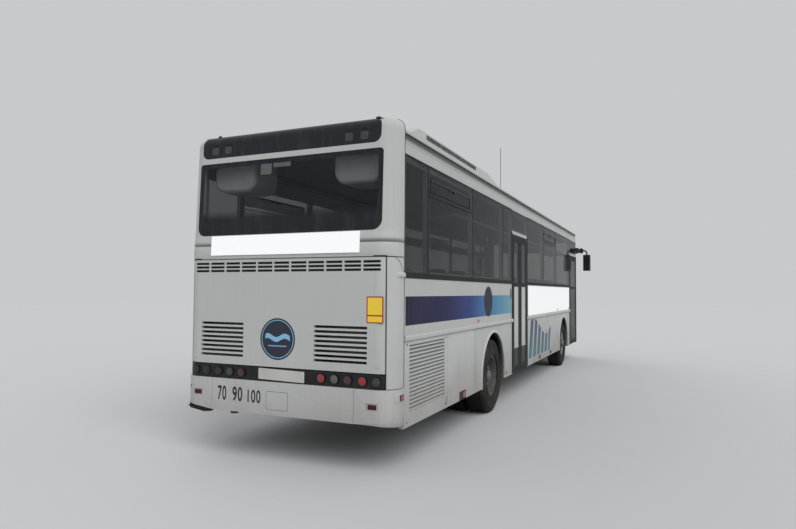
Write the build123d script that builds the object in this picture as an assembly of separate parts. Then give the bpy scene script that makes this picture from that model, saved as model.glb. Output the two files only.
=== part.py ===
from build123d import *

"""Twelve-metre intercity bus with two doors on its right side, in millimetres.

While the pieces are made, x runs forward from the rear face, y to the left and z up from the road.
save() then moves each piece so that the origin is on the road, under the middle of the whole bus.
"""
import os
from math import cos, hypot, radians, sin

os.makedirs("parts", exist_ok=True)

# Overall size
REAR_OVERHANG = 3480
WHEELBASE = 6200
FRONT_OVERHANG = 2320
HALF = 1255
WALL = 50
SHEET = 30
GAP = 6
FIT = 0.3
REAR_AXLE_X = REAR_OVERHANG
FRONT_AXLE_X = REAR_AXLE_X + WHEELBASE
LENGTH = FRONT_AXLE_X + FRONT_OVERHANG
INNER = HALF - WALL

# Heights above the road
SKIRT_Z = 410
WAIST_Z = 1240
GLASS_Z = 1905
CANT_Z = 2990
GLASS_TOP_Z = 3060
CORNICE_Z = 3172
RAIL_FOOT_Z = 3264
GUTTER_Z = 3280
RAIL_TOP_Z = 3300
ROOF_EDGE_Z = 3312
CROWN_Z = 3400
CEILING_Z = 3335
END_TOP_Z = 3410
FLOOR_Z = 900
REAR_FLOOR_Z = 1150
FLOOR_T = 50
PANEL_SEAM = 4

# Side profile
MOULDING_H = 55
MOULDING_OUT = 20
CORNICE_IN = 14
RAIL_OUT = 4
RAIL_LIP = 14
ROOF_SEAT = 45

# Running gear
TYRE_R = 522
TYRE_W = 298
TREAD_BEVEL = 32
BEAD_R = 286
RIM_W = 250
RIM_T = 20
DISC_FACE = 100
ARCH_R = 600
ARCH_Z = 540
ARCH_LIP = 16
ARCH_LIP_OUT = 6
FRONT_TYRE_IN = 25
REAR_TYRE_IN = 15
TWIN_SPACING = 345
HUB_R = 150
SPINDLE_R = 45
KINGPIN_OFFSET = 201
KINGPIN_R = 22
EYE_R = 45
EYE_H = 120
EAR_T = 30
FRONT_WHEEL_Y = HALF - FRONT_TYRE_IN - TYRE_W / 2
REAR_WHEEL_Y = HALF - REAR_TYRE_IN - TYRE_W / 2 - TWIN_SPACING / 2
KINGPIN_Y = FRONT_WHEEL_Y - KINGPIN_OFFSET

# Wheel boxes in the floor: axle, half length
BOX_INNER_Y = 520
BOX_TOP_Z = 1190
WHEEL_BOXES = ((REAR_AXLE_X, 640), (FRONT_AXLE_X, 700))

# Frame rails
RAIL_Y = 420
RAIL_W = 80
RAIL_Z = 640
RAIL_H = 120
RAIL_YS = (RAIL_Y, RAIL_Y + RAIL_W)
RAIL_ZS = (RAIL_Z, RAIL_Z + RAIL_H)
RAIL_START = 150
JACK_PAD = (120, 22)
JACK_REAR_X = REAR_AXLE_X + 1120
JACK_FRONT_X = FRONT_AXLE_X + 1150

# Glazing
GLASS_T = 8
PANE_JOINT = 10
PILLAR_W = 90
FIRST_PANE = 637
REAR_PITCH = 1560
FRONT_PITCH = 1490
LEAST_PANE = 560

# Rear end
REAR_FACE_X = 16
CAP_X = 250
REAR_R = 200
REAR_LEAN = 52
END_R = 110
BACK_FACE = 40
REAR_T = 60
HATCH_SIDE = 95
HATCH_T = 40
HATCH_Z = 950
HATCH_TOP_Z = 2048
REAR_WINDOW_Z = (2305, 3095)
REAR_WINDOW_SIDE = 140
REAR_WINDOW_R = (100, 35)
REAR_WINDOW_LAND = 35
REAR_BAND_Z = (3152, 3398)
REAR_BAND_SIDE = 165
REAR_BAND_R = 80
REAR_GLASS_T = 10
LAMP_Z = (808, 940)
LAMP_R = 42
LAMP_IN = (680, 530, 385, 230, 80)
LAMP_BACK = 60
BUMPER_Z = 470
BUMPER_TOP_Z = 800
BUMPER_T = 50
BUMPER_LIFT = 50
REFLECTOR_Z = 640
HATCH_HALF = HALF - HATCH_SIDE
BUMPER_SPLIT_Y = HALF - 410
REFLECTOR_Y = HALF - 215
LAMP_YS = [HATCH_HALF - inward for inward in LAMP_IN]

# Grilles of the hatch: side, first and last y from the middle, then the row of slots under its top
GRILLES = ((1, 465, 1020), (-1, 390, 977))
GRILLE_Z = 1032
GRILLE_PITCH = 47
GRILLE_SLOT = 26
GRILLE_ROWS = 8
VENT_Z = 1918
VENT_PITCH = 39
VENT_SLOT = 18
VENT_COLUMNS = 11
VENT_BAR = 30

# Hinge tubes along the top of the flaps and the hatch
HINGE_GAP = 14
HINGE_R = HINGE_GAP / 2 - FIT
HINGE_IN = 2
NECK = 6

# Front end
BOW = 60
FRONT_CORNER = 210
FRONT_CORNER_Y = 155
FRONT_CAP_X = LENGTH - FRONT_CORNER
FRONT_ROOT = 390
FRONT_T = 60
FRONT_FRAME_END = FRONT_CAP_X - FRONT_ROOT + 100
RAKE = 130
SCREEN_Z = (1480, 3110)
SCREEN_SIDE = 165
SCREEN_R = 120
SCREEN_LAND = 40
FRONT_BUMPER_Z = 390
FRONT_BUMPER_TOP_Z = 940
HEADLAMP_Y = (650, 1075)
HEADLAMP_Z = (765, 905)
HEADLAMP_T = 34
BOWL_R = 55
FOG_Y = 900
FOG_Z = 560
FOG_R = 48
PLATE = (540, 130, 8)
PLATE_Z = 560
FLAP_RISE = 6
NOSE_SLOTS = (1085, 1120, 1155)
WIPER_OUT = 18
WIPER_CLEAR = 5
WIPER_ARM = 700
WIPER_BLADE = (60, 830)

# Doors
DOOR_Z = 418
DOOR_TOP_Z = 2650
HEADER_Z = 2725
DOOR_GAP = 12
STILE = 70
LEAF_T = 45
LEAF_RECESS = 4
KICK_Z = 806
LEAF_GLASS_Z = (1850, 2585)
POST_R = 16
POST_IN = 68
POST_EDGE = 75
POST_Z = (935, 2632)
BRACKET_H = 30
ARM_H = 30
ARM_W = 30
ARM_ZS = (1000, 2600)
PIN_R = 8
LUG = 20
MID_DOOR_X = REAR_AXLE_X + 1145
MID_DOOR_W = 1060
FRONT_PILLAR = 20
FRONT_DOOR_W = 1090
STEP_DEPTH = 252
MID_DOOR = (MID_DOOR_X, MID_DOOR_X + MID_DOOR_W)
FRONT_DOOR = (FRONT_CAP_X - FRONT_PILLAR - FRONT_DOOR_W, FRONT_CAP_X - FRONT_PILLAR)
MID_X = sum(MID_DOOR) / 2

# Leaves: name, rear edge, front edge, side of its post (-1 rear edge, +1 front edge), arm length
LEAVES = (
    ("front_door", FRONT_DOOR[0], FRONT_DOOR[1], -1, 520),
    ("mid_door_rear", MID_DOOR[0], MID_X - DOOR_GAP / 2, -1, 300),
    ("mid_door_front", MID_X + DOOR_GAP / 2, MID_DOOR[1], 1, 300),
)

# Luggage hold between the middle door and the front wheels
HOLD_X = (MID_DOOR[1] + 75, FRONT_AXLE_X - 640)
HOLD_FLOOR_Z = 420

# Side flaps: name, side (-1 right, +1 left), rear edge, front edge
FLAP_T = 35
LEAF_THROW = 1.5 * LEAVES[2][4]
RADIATOR_END_X = CAP_X + 1246
FLAPS = (
    ("radiator_door", -1, CAP_X + 12, RADIATOR_END_X),
    ("service_door", -1, RADIATOR_END_X + 8, REAR_AXLE_X - 950),
    ("luggage_door_right", -1, MID_DOOR[1] + LEAF_THROW + 55, HOLD_X[1] - SHEET),
    ("luggage_door_left", 1, HOLD_X[0] + SHEET, HOLD_X[1] - SHEET),
)
LOUVRES = 17
LOUVRE_T = 9
LOUVRE_Z = (550, 1198)
LOUVRE_REAR = 125
LOUVRE_FRONT = 95

# Engine, radiator and silencer
ENGINE_X = 330
ENGINE_L = 1230
ENGINE_HALF = 400
ENGINE_ZS = (480, 1040)
GEARBOX_L = 590
RAISED_FLOOR_X = 1700
RADIATOR_T = 80
SILENCER_X = (700, 1300)
PIPE_R = 45

# Roof unit and aerial
POD_X = (720, 4180)
POD_SIDE = 135
POD_Z = 3530
POD_SHOULDER = 40
POD_REAR_SLOPE = 300
POD_FRONT_SLOPE = 760
POD_GRILLE = (1150, 3050, 3418, 3474)
POD_GRILLE_DEEP = 14
AERIAL_X = REAR_AXLE_X + REAR_PITCH
AERIAL_Y = -950
AERIAL_TOP_Z = 4190

# Mirrors: the heads hang ahead of the front corners
MIRROR_AHEAD = 60
MIRROR_T = 120
MIRROR_OUT = 255
MIRROR_W = 185
MIRROR_Z = (2315, 2750)
MIRROR_ARM_Z = 2860
MIRROR_ARM_R = 20
MIRROR_ARM_BEND = 70
MIRROR_FOOT = 90
MIRROR_X = LENGTH + MIRROR_AHEAD
MIRROR_Y = HALF + MIRROR_OUT

# Seats
SEAT_START = RAISED_FLOOR_X + 80
SEAT_PITCH = 790
SEAT_L = 560
SEAT_H = 450
SEAT_BACK = 660
AISLE_HALF = 330
DRIVER_BEHIND = 1310
DRIVER_X = FRONT_CAP_X - DRIVER_BEHIND
RACK_Z = 2650

MIDDLE_X = (MIRROR_X + MIRROR_T / 2) / 2


def save(name, shape):
    """Writes one piece, with the middle of the bus at x = 0."""
    export_step(Pos(-MIDDLE_X, 0, 0) * shape, f"parts/{name}.step")


def block(x0, x1, y0, y1, z0, z1):
    """A box between two corners."""
    middle = Pos((x0 + x1) / 2, (y0 + y1) / 2, (z0 + z1) / 2)
    return middle * Box(abs(x1 - x0), abs(y1 - y0), abs(z1 - z0))


def along_y(points, y0, y1):
    """A prism of an x-z outline."""
    face = make_face(Polyline([(x, y0, z) for x, z in points], close=True))
    return extrude(face, amount=y1 - y0, dir=(0, 1, 0))


def along_x(points, x0, x1):
    """A prism of a y-z outline."""
    face = make_face(Polyline([(x0, y, z) for y, z in points], close=True))
    return extrude(face, amount=x1 - x0, dir=(1, 0, 0))


def rod_x(y, z, r, x0, x1):
    """A round bar along x."""
    return Pos((x0 + x1) / 2, y, z) * Rot(0, 90, 0) * Cylinder(r, x1 - x0)


def rod_y(x, z, r, y0, y1):
    """A round bar along y."""
    return Pos(x, (y0 + y1) / 2, z) * Rot(90, 0, 0) * Cylinder(r, abs(y1 - y0))


def rod_z(x, y, r, z0, z1):
    """An upright round bar."""
    return Pos(x, y, (z0 + z1) / 2) * Cylinder(r, z1 - z0)


def window_x(half, z0, z1, r, x0, x1):
    """A prism along x of a rectangle with round corners, on the middle plane."""
    plane = Plane((x0, 0, (z0 + z1) / 2), x_dir=(0, 1, 0), z_dir=(1, 0, 0))
    return extrude(plane * RectangleRounded(2 * half, z1 - z0, r), amount=x1 - x0)


def both(make):
    """The right and the left copy of what a function makes for a side."""
    return [make(-1), make(1)]


def rail_ends(side):
    """The y of both faces of one frame rail."""
    return side * RAIL_YS[0], side * RAIL_YS[1]


def crowned(body, inset, open_x):
    """Rounds the top rim of an end block, except across its open end."""
    top = body.bounding_box().max.Z
    rim = [edge for edge in body.edges() if edge.bounding_box().min.Z > top - 1]
    across = [edge for edge in rim if edge.bounding_box().size.X < 1 and abs(edge.center().X - open_x) < 1]
    return fillet([edge for edge in rim if edge not in across], END_R - inset)


def corner_line(inset, start, middle, end):
    """An arc through three points, or two straight lines on a back face."""
    if inset < BACK_FACE:
        return ThreePointArc(start, middle, end)
    return Polyline(start, middle, end)


def rear_plan(back, inset, z):
    """One level outline of the rear end, drawn in by an inset, with round corners."""
    half, r, far = HALF - inset, REAR_R - inset, CAP_X + 2 * REAR_LEAN
    bend = r * (1 - cos(radians(45)))
    lines = [
        Line((far, -half, z), (far, half, z)),
        Line((far, half, z), (back + r, half, z)),
        corner_line(inset, (back + r, half, z), (back + bend, half - bend, z), (back, half - r, z)),
        Line((back, half - r, z), (back, r - half, z)),
        corner_line(inset, (back, r - half, z), (back + bend, bend - half, z), (back + r, -half, z)),
        Line((back + r, -half, z), (far, -half, z)),
    ]
    return make_face(lines)


def rear_form(inset, face_x=REAR_FACE_X):
    """The rear end as a solid block, drawn in by an inset: it leans forward above the hatch.

    The deeper insets only make back faces, which keep their edges.
    """
    knee, whole = HATCH_TOP_Z, END_TOP_Z - HATCH_TOP_Z
    rise = whole - inset
    lean = REAR_LEAN * rise / whole
    lower = extrude(rear_plan(face_x + inset, inset, 0), amount=knee, dir=(0, 0, 1))
    plan = rear_plan(face_x + inset, inset, knee)
    upper = extrude(plan, amount=hypot(lean, rise), dir=(lean, 0, rise))
    open_x = CAP_X + REAR_LEAN
    body = (lower + upper) & block(-30, open_x, -2 * HALF, 2 * HALF, 0, END_TOP_Z + 30)
    if inset < BACK_FACE:
        body = crowned(body, inset, open_x)
    return body & block(-30, CAP_X, -2 * HALF, 2 * HALF, 0, END_TOP_Z + 30)


def front_plan(inset, z):
    """One level outline of the front end, drawn in by an inset."""
    half, nose = HALF - inset, LENGTH - inset
    root_x, corner_x = FRONT_CAP_X - FRONT_ROOT, nose - BOW
    corner_y = HALF - FRONT_CORNER_Y - inset / 2
    knee_x = FRONT_CAP_X + (corner_x - FRONT_CAP_X) * sin(radians(45))
    knee_y = half - (half - corner_y) * (1 - cos(radians(45)))
    lines = [
        Line((root_x, -half, z), (root_x, half, z)),
        Line((root_x, half, z), (FRONT_CAP_X, half, z)),
        ThreePointArc((FRONT_CAP_X, half, z), (knee_x, knee_y, z), (corner_x, corner_y, z)),
        ThreePointArc((corner_x, corner_y, z), (nose, 0, z), (corner_x, -corner_y, z)),
        ThreePointArc((corner_x, -corner_y, z), (knee_x, -knee_y, z), (FRONT_CAP_X, -half, z)),
        Line((FRONT_CAP_X, -half, z), (root_x, -half, z)),
    ]
    return make_face(lines)


def front_form(inset):
    """The front end as a solid block, drawn in by an inset: bowed, raked above the waist."""
    foot, knee = FRONT_BUMPER_Z, SCREEN_Z[0]
    whole = END_TOP_Z - knee
    rise = whole - inset
    rake = RAKE * rise / whole
    lower = extrude(front_plan(inset, foot), amount=knee - foot, dir=(0, 0, 1))
    upper = extrude(front_plan(inset, knee), amount=hypot(rake, rise), dir=(-rake, 0, rise))
    open_x, ahead = FRONT_CAP_X - RAKE, LENGTH + 60
    body = (lower + upper) & block(open_x, ahead, -2 * HALF, 2 * HALF, 0, END_TOP_Z + 30)
    body = crowned(body, inset, open_x)
    return body & block(FRONT_CAP_X, ahead, -2 * HALF, 2 * HALF, 0, END_TOP_Z + 30)


REAR_BLOCK = rear_form(0)
FRONT_BLOCK = front_form(0)
FRONT_SHELL = FRONT_BLOCK - front_form(FRONT_T)


def ladder_frame(start, end, jack_x, *between):
    """Two rails with cross members and jacking pads, and floor bearers beside the axle."""
    (y0, y1), (z0, z1) = RAIL_YS, RAIL_ZS
    frame = block(start, start + RAIL_W, -y1, y1, z0, z1)
    for x in (*between, end - RAIL_W):
        frame += block(x, x + RAIL_W, -y1, y1, z0, z1)
    long, thick = JACK_PAD
    for side in (-1, 1):
        frame += block(start, end, side * y0, side * y1, z0, z1)
        frame += block(jack_x - long / 2, jack_x + long / 2, side * y0, side * y1, z0 - thick, z0)
    for axle_x, half in WHEEL_BOXES:
        for x in (axle_x - half - 2 * RAIL_W, axle_x + half + RAIL_W):
            if start < x < end:
                frame += block(x, x + RAIL_W, -INNER, INNER, z1, FLOOR_Z - FLOOR_T)
    return frame


def rear_frame():
    """The frame from the rear bumper to the luggage hold."""
    return ladder_frame(RAIL_START, HOLD_X[0], JACK_REAR_X, REAR_AXLE_X - 580)


def front_frame():
    """The frame from the luggage hold to the front bumper."""
    return ladder_frame(HOLD_X[1], FRONT_FRAME_END, JACK_FRONT_X, FRONT_AXLE_X + 820)


def stairs(x0, x1):
    """A stairwell of two steps, open towards the door."""
    low, mid, deep = DOOR_Z + 12, (DOOR_Z + FLOOR_Z) / 2, SHEET
    y0, y1, y2 = -INNER, STEP_DEPTH - INNER, 2 * STEP_DEPTH - INNER
    treads = along_x(
        [
            (y0, low),
            (y1 + deep, low),
            (y1 + deep, mid - deep),
            (y2 + deep, mid - deep),
            (y2 + deep, FLOOR_Z),
            (y2, FLOOR_Z),
            (y2, mid),
            (y1, mid),
            (y1, low + deep),
            (y0, low + deep),
        ],
        x0,
        x1,
    )
    for x in (x0 - deep, x1):
        treads += block(x, x + deep, y0, y2 + deep, low, FLOOR_Z)
    return treads


def stairwells():
    """The stairwells inside both doorways."""
    return [stairs(x0 - 20, x1 - 20) for x0, x1 in (MID_DOOR, FRONT_DOOR)]


def floor_deck():
    """The floor panels between the wheel boxes and stairwells: rear and front edge, right and left."""
    landing = 2 * STEP_DEPTH - INNER + SHEET
    (rear_x, rear_half), (front_x, front_half) = WHEEL_BOXES
    mid_x, door_x = MID_DOOR[0] - 20 - SHEET, FRONT_DOOR[0] - 20 - SHEET
    edges = (
        (RAISED_FLOOR_X + SHEET, rear_x - rear_half, -INNER, INNER),
        (rear_x - rear_half, rear_x + rear_half, -BOX_INNER_Y, BOX_INNER_Y),
        (rear_x + rear_half, mid_x, -INNER, INNER),
        (mid_x, MID_DOOR[1] - 20 + SHEET, landing, INNER),
        (MID_DOOR[1] - 20 + SHEET, front_x - front_half, -INNER, INNER),
        (front_x - front_half, front_x + front_half, -BOX_INNER_Y, BOX_INNER_Y),
        (front_x + front_half, door_x, -INNER, INNER),
        (door_x, FRONT_CAP_X - FRONT_PILLAR, landing, INNER),
    )
    seam = PANEL_SEAM / 2
    return [block(a + seam, b - seam, c, d, FLOOR_Z - FLOOR_T, FLOOR_Z) for a, b, c, d in edges]


def rear_floor():
    """The raised floor over the engine, with its riser and the bulkhead behind the saloon."""
    rear = CAP_X + 2
    floor = block(rear, RAISED_FLOOR_X, -INNER, INNER, REAR_FLOOR_Z - FLOOR_T, REAR_FLOOR_Z)
    riser_x, low = RAISED_FLOOR_X + SHEET, FLOOR_Z - FLOOR_T
    floor += block(RAISED_FLOOR_X, riser_x, -INNER, INNER, low, REAR_FLOOR_Z)
    return floor + block(rear, rear + SHEET, -INNER, INNER, REAR_FLOOR_Z, REAR_WINDOW_Z[0] - 60)


def wheel_boxes():
    """The boxes over the wheels, open below and towards the side walls."""
    boxes = []
    for axle_x, half in WHEEL_BOXES:
        inside = half - SHEET
        for side in (-1, 1):
            y0, y1, y2 = side * BOX_INNER_Y, side * (BOX_INNER_Y + SHEET), side * INNER
            low, top = FLOOR_Z - FLOOR_T, BOX_TOP_Z
            housing = block(axle_x - half, axle_x + half, y0, y2, low, top)
            boxes.append(housing - block(axle_x - inside, axle_x + inside, y1, y2, 0, top - SHEET))
    return boxes


def engine_block():
    """The engine and gearbox as one plain mass between the rails, and the radiator beside them."""
    z0, z1 = ENGINE_ZS
    end = ENGINE_X + ENGINE_L
    engine = block(ENGINE_X, end, -ENGINE_HALF, ENGINE_HALF, z0, z1)
    engine += block(end, end + GEARBOX_L, -230, 230, z0 + 60, z0 + 340)
    for x in (ENGINE_X + 170, end - 260):
        engine += block(x, x + 120, -RAIL_Y, RAIL_Y, *RAIL_ZS)
    _, _, a, b = FLAPS[0]
    y = FLAP_T + 30 - HALF
    core = block(a + 70, b - 60, y, y + RADIATOR_T, LOUVRE_Z[0], REAR_FLOOR_Z - FLOOR_T)
    return [engine, core]


def exhaust():
    """The silencer hung from the left rail, and its tail pipe turned down under the bumper."""
    x0, x1 = SILENCER_X
    y0, y1 = RAIL_YS[1] + 60, RAIL_YS[1] + 400
    z = BUMPER_Z + 30
    can = block(x0, x1, y0, y1, z, z + 300)
    for x in (x0 + 80, x1 - 140):
        can += block(x, x + 60, RAIL_YS[1], y0, *RAIL_ZS)
    y = (y0 + y1) / 2
    end_x = BUMPER_T + 180
    path = FilletPolyline((x0 + 5, y, z + 120), (end_x, y, z + 120), (end_x, y, z - 100), radius=90)
    return can + sweep(Plane(path @ 0, z_dir=path % 0) * RegularPolygon(PIPE_R, 10), path)


def rear_axle():
    """The drive axle: a banjo case, two tubes, seats under the rails and spindles."""
    x, z = REAR_AXLE_X, TYRE_R
    tip = REAR_WHEEL_Y + TWIN_SPACING / 2 - 20
    axle = rod_y(x, z, 75, -560, 560) + rod_y(x, z, SPINDLE_R, -tip, tip)
    axle += Pos(x, -80, z) * Rot(90, 0, 0) * Cone(190, 90, 160)
    axle += Pos(x, 80, z) * Rot(-90, 0, 0) * Cone(190, 90, 160)
    axle += rod_x(0, z, 90, x - 320, x)
    for side in (-1, 1):
        axle += block(x - 90, x + 90, *rail_ends(side), z, RAIL_Z)
    return axle


def front_axle():
    """The front beam, dropped in the middle, with a bored eye for each kingpin."""
    x, z = FRONT_AXLE_X, TYRE_R
    beam = block(x - 45, x + 45, -620, 620, z - 130, z - 40)
    for side in (-1, 1):
        pin_y = side * KINGPIN_Y
        beam += block(x - 45, x + 45, side * 560, side * 640, z - 130, z + 45)
        beam += block(x - 45, x + 45, side * 560, pin_y, z - 45, z + 45)
        beam += block(x - 45, x + 45, *rail_ends(side), z - 130, RAIL_Z)
        beam += rod_z(x, pin_y, EYE_R, z - EYE_H / 2, z + EYE_H / 2)
        beam -= rod_z(x, pin_y, KINGPIN_R + FIT, z - EYE_H, z + EYE_H)
    return beam


def knuckle(side):
    """A kingpin held in a fork, with the spindle that carries the front wheel."""
    x, z = FRONT_AXLE_X, TYRE_R
    pin_y = side * KINGPIN_Y
    wheel_y = side * FRONT_WHEEL_Y
    reach = side * (KINGPIN_Y + EYE_R + EAR_T)
    top = z + EYE_H / 2 + FIT
    low = z - EYE_H / 2 - FIT
    body = rod_z(x, pin_y, KINGPIN_R, low - EAR_T, top + EAR_T)
    for z0 in (low - EAR_T, top):
        body += block(x - EYE_R, x + EYE_R, pin_y - side * 30, reach, z0, z0 + EAR_T)
    body += block(x - EYE_R, x + EYE_R, reach - side * 25, reach, low - EAR_T, top + EAR_T)
    return body + rod_y(x, z, SPINDLE_R, reach - side * 10, wheel_y + side * 70)


def turned(points, x, y):
    """A ring turned about a wheel's axis, from a table of radius and offset along the axle."""
    face = make_face(Polyline([(x + r, y + w, TYRE_R) for r, w in points], close=True))
    return revolve(face, Axis((x, y, TYRE_R), (0, 1, 0)), 360)


def tyre(x, y):
    """One tyre: bore, flat sides, bevelled shoulders and tread."""
    w, bevel = TYRE_W / 2, TREAD_BEVEL
    section = (
        (BEAD_R, -w),
        (TYRE_R - bevel, -w),
        (TYRE_R, bevel - w),
        (TYRE_R, w - bevel),
        (TYRE_R - bevel, w),
        (BEAD_R, w),
    )
    return turned(section, x, y)


def rim(x, y, hand, face):
    """One rim: a barrel and a dished disc, whose flat face lies towards the given hand."""
    w, inner, root, bore = RIM_W / 2, BEAD_R - RIM_T, HUB_R + 30, HUB_R - 10
    section = (
        (BEAD_R, -w),
        (BEAD_R, w),
        (inner, w),
        (root, face),
        (bore, face),
        (bore, face - RIM_T),
        (root - 10, face - RIM_T),
        (inner, w - 60),
        (inner, -w),
    )
    return turned([(r, hand * offset) for r, offset in section], x, y)


def hub(x, y, side, back, front):
    """The hub drum, bored for the spindle and closed by its cap."""
    drum = rod_y(x, TYRE_R, HUB_R, y - side * back, y + side * front)
    return drum - rod_y(x, TYRE_R, SPINDLE_R + FIT, y - side * (back + 10), y + side * (front - 50))


def front_wheel(side):
    """The front rim with its hub, which turns on the spindle."""
    x, y = FRONT_AXLE_X, side * FRONT_WHEEL_Y
    return rim(x, y, side, DISC_FACE) + hub(x, y, side, 10, 125)


def rear_wheel(side):
    """The twin rims bolted face to face on one hub."""
    x, y, face = REAR_AXLE_X, side * REAR_WHEEL_Y, TWIN_SPACING / 2
    twins = rim(x, y + side * face, -side, face) + rim(x, y - side * face, side, face)
    return twins + hub(x, y, side, 120, TWIN_SPACING / 2 + 60)


def twin_tyres(side):
    """The two tyres on one end of the rear axle."""
    y, out = side * REAR_WHEEL_Y, TWIN_SPACING / 2
    return [tyre(REAR_AXLE_X, y - out), tyre(REAR_AXLE_X, y + out)]


def pane_run(start, first, pitch, end, foot):
    """Panes between two edges: rear edge, front edge and foot of each."""
    edges, x = [start], start + first
    while end - x >= LEAST_PANE:
        edges.append(x)
        x += pitch
    edges.append(end)
    return [(a, b, foot) for a, b in zip(edges, edges[1:])]


def panes(side):
    """All panes of one side."""
    if side > 0:
        return pane_run(CAP_X, FIRST_PANE, REAR_PITCH, FRONT_CAP_X, GLASS_Z)
    jamb = DOOR_GAP + 25
    mid_rear, mid_front = MID_DOOR[0] - jamb, MID_DOOR[1] + jamb
    listed = pane_run(CAP_X, FIRST_PANE, REAR_PITCH, mid_rear, GLASS_Z)
    listed += pane_run(mid_front, FRONT_PITCH, FRONT_PITCH, FRONT_DOOR[0] - jamb, GLASS_Z)
    return listed + [(mid_rear, mid_front, HEADER_Z), (FRONT_DOOR[0] - jamb, FRONT_CAP_X, HEADER_Z)]


def side_glass(side):
    """The panes bonded flush in the outer face of one side wall."""
    y0, y1, gap = side * (HALF - GLASS_T), side * HALF, PANE_JOINT / 2
    return [block(a + gap, b - gap, y0, y1, z, GLASS_TOP_Z) for a, b, z in panes(side)]


def moulding(side, x0, x1):
    """A stretch of the rub moulding, rounded towards the outside."""
    y, z, out, high = side * (HALF - 1), WAIST_Z, side * (MOULDING_OUT + 1), MOULDING_H
    outline = [
        (y, z),
        (y + out * 0.7, z),
        (y + out, z + high * 0.15),
        (y + out, z + high * 0.7),
        (y + out * 0.6, z + high),
        (y, z + high),
    ]
    return along_x(outline, x0, x1)


def wall_section(side):
    """The side wall's section: skirt and waist, glass rebate, cornice, groove and gutter rail."""
    outline = [
        (INNER, SKIRT_Z),
        (HALF, SKIRT_Z),
        (HALF, GLASS_Z),
        (HALF - GLASS_T, GLASS_Z),
        (HALF - GLASS_T, GLASS_TOP_Z),
        (HALF, GLASS_TOP_Z),
        (HALF, CORNICE_Z),
        (HALF - CORNICE_IN, CORNICE_Z + 6),
        (HALF - CORNICE_IN, RAIL_FOOT_Z),
        (HALF, RAIL_FOOT_Z + 4),
        (HALF + RAIL_OUT, RAIL_FOOT_Z + 12),
        (HALF + RAIL_OUT, RAIL_TOP_Z - 8),
        (HALF - RAIL_OUT, RAIL_TOP_Z),
        (HALF - RAIL_LIP, RAIL_TOP_Z),
        (HALF - RAIL_LIP, GUTTER_Z),
        (INNER, GUTTER_Z),
    ]
    return along_x([(side * y, z) for y, z in outline], CAP_X, FRONT_CAP_X)


def side_wall(side):
    """One side wall with its window, door, arch and flap openings."""
    y0, y1 = side * INNER, side * HALF
    lip_y = y1 + side * ARCH_LIP_OUT
    wall = wall_section(side)
    for a, b, z in panes(side):
        wall -= block(a + PILLAR_W / 2, b - PILLAR_W / 2, y0, y1, z + 25, CANT_Z)
    for x in (REAR_AXLE_X, FRONT_AXLE_X):
        ring = rod_y(x, ARCH_Z, ARCH_R + ARCH_LIP, y1 - side * 5, lip_y)
        reach = ARCH_R + ARCH_LIP
        ring -= block(x - reach, x + reach, y0, lip_y, ARCH_Z - reach, ARCH_Z)
        legs = block(x - reach, x + reach, y1 - side * 5, lip_y, SKIRT_Z, ARCH_Z)
        wall += ring + legs
        wall -= rod_y(x, ARCH_Z, ARCH_R, y0, lip_y)
        wall -= block(x - ARCH_R, x + ARCH_R, y0, lip_y, SKIRT_Z, ARCH_Z)
    for _, flap_side, a, b in FLAPS:
        if flap_side == side:
            wall -= block(a - GAP, b + GAP, y0, y1, SKIRT_Z, WAIST_Z)
    if side > 0:
        return wall + moulding(side, CAP_X + 12, FRONT_CAP_X)
    for a, b in (MID_DOOR, FRONT_DOOR):
        head = DOOR_TOP_Z + DOOR_GAP
        a, b = a - DOOR_GAP, b + DOOR_GAP
        wall += block(a, b, y1, y1 - side * GLASS_T, head, HEADER_Z - PANE_JOINT / 2)
        wall -= block(a, b, y0, y1, SKIRT_Z, head)
    for _, a, b, post, _ in LEAVES:
        wall += post_brackets(a, b, post)
    wall += moulding(side, CAP_X + 12, MID_DOOR[0] - DOOR_GAP)
    return wall + moulding(side, MID_DOOR[1] + DOOR_GAP, FRONT_DOOR[0] - DOOR_GAP)


def post_place(a, b, post):
    """Where a door's post stands."""
    x = a + POST_EDGE - DOOR_GAP if post < 0 else b - POST_EDGE + DOOR_GAP
    return x, POST_IN - HALF


def post_brackets(a, b, post):
    """The bearings under and over a door's post, on the inner face of the wall."""
    x, y = post_place(a, b, post)
    far = x + post * (POST_EDGE + 60)
    near = x - post * (POST_R + 2)
    low = block(near, far, -INNER, y + 20, POST_Z[0] - FIT - BRACKET_H, POST_Z[0] - FIT)
    return low + block(near, far, -INNER, y + 20, POST_Z[1] + FIT, POST_Z[1] + FIT + BRACKET_H)


def door_arm(a, b, post, reach):
    """A post with its two arms, which swing the leaf out."""
    x, y = post_place(a, b, post)
    end = x - post * reach
    body = rod_z(x, y, POST_R, *POST_Z)
    for z in ARM_ZS:
        low, high = z - ARM_H / 2, z + ARM_H / 2
        arm = block(x, end - post * ARM_W / 2, y - ARM_W / 2, y + ARM_W / 2, low, high)
        body += arm - rod_z(end, y, PIN_R + FIT, low, high)
    return body


def leaf_openings(a, b):
    """The glass of a leaf and its two lower panels: edges, foot and top of each."""
    x0, x1 = a + STILE, b - STILE
    foot, top = LEAF_GLASS_Z
    return (x0, x1, foot, top), (x0, x1, KICK_Z + 20, foot - 40), (x0, x1, DOOR_Z + 20, KICK_Z)


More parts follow.
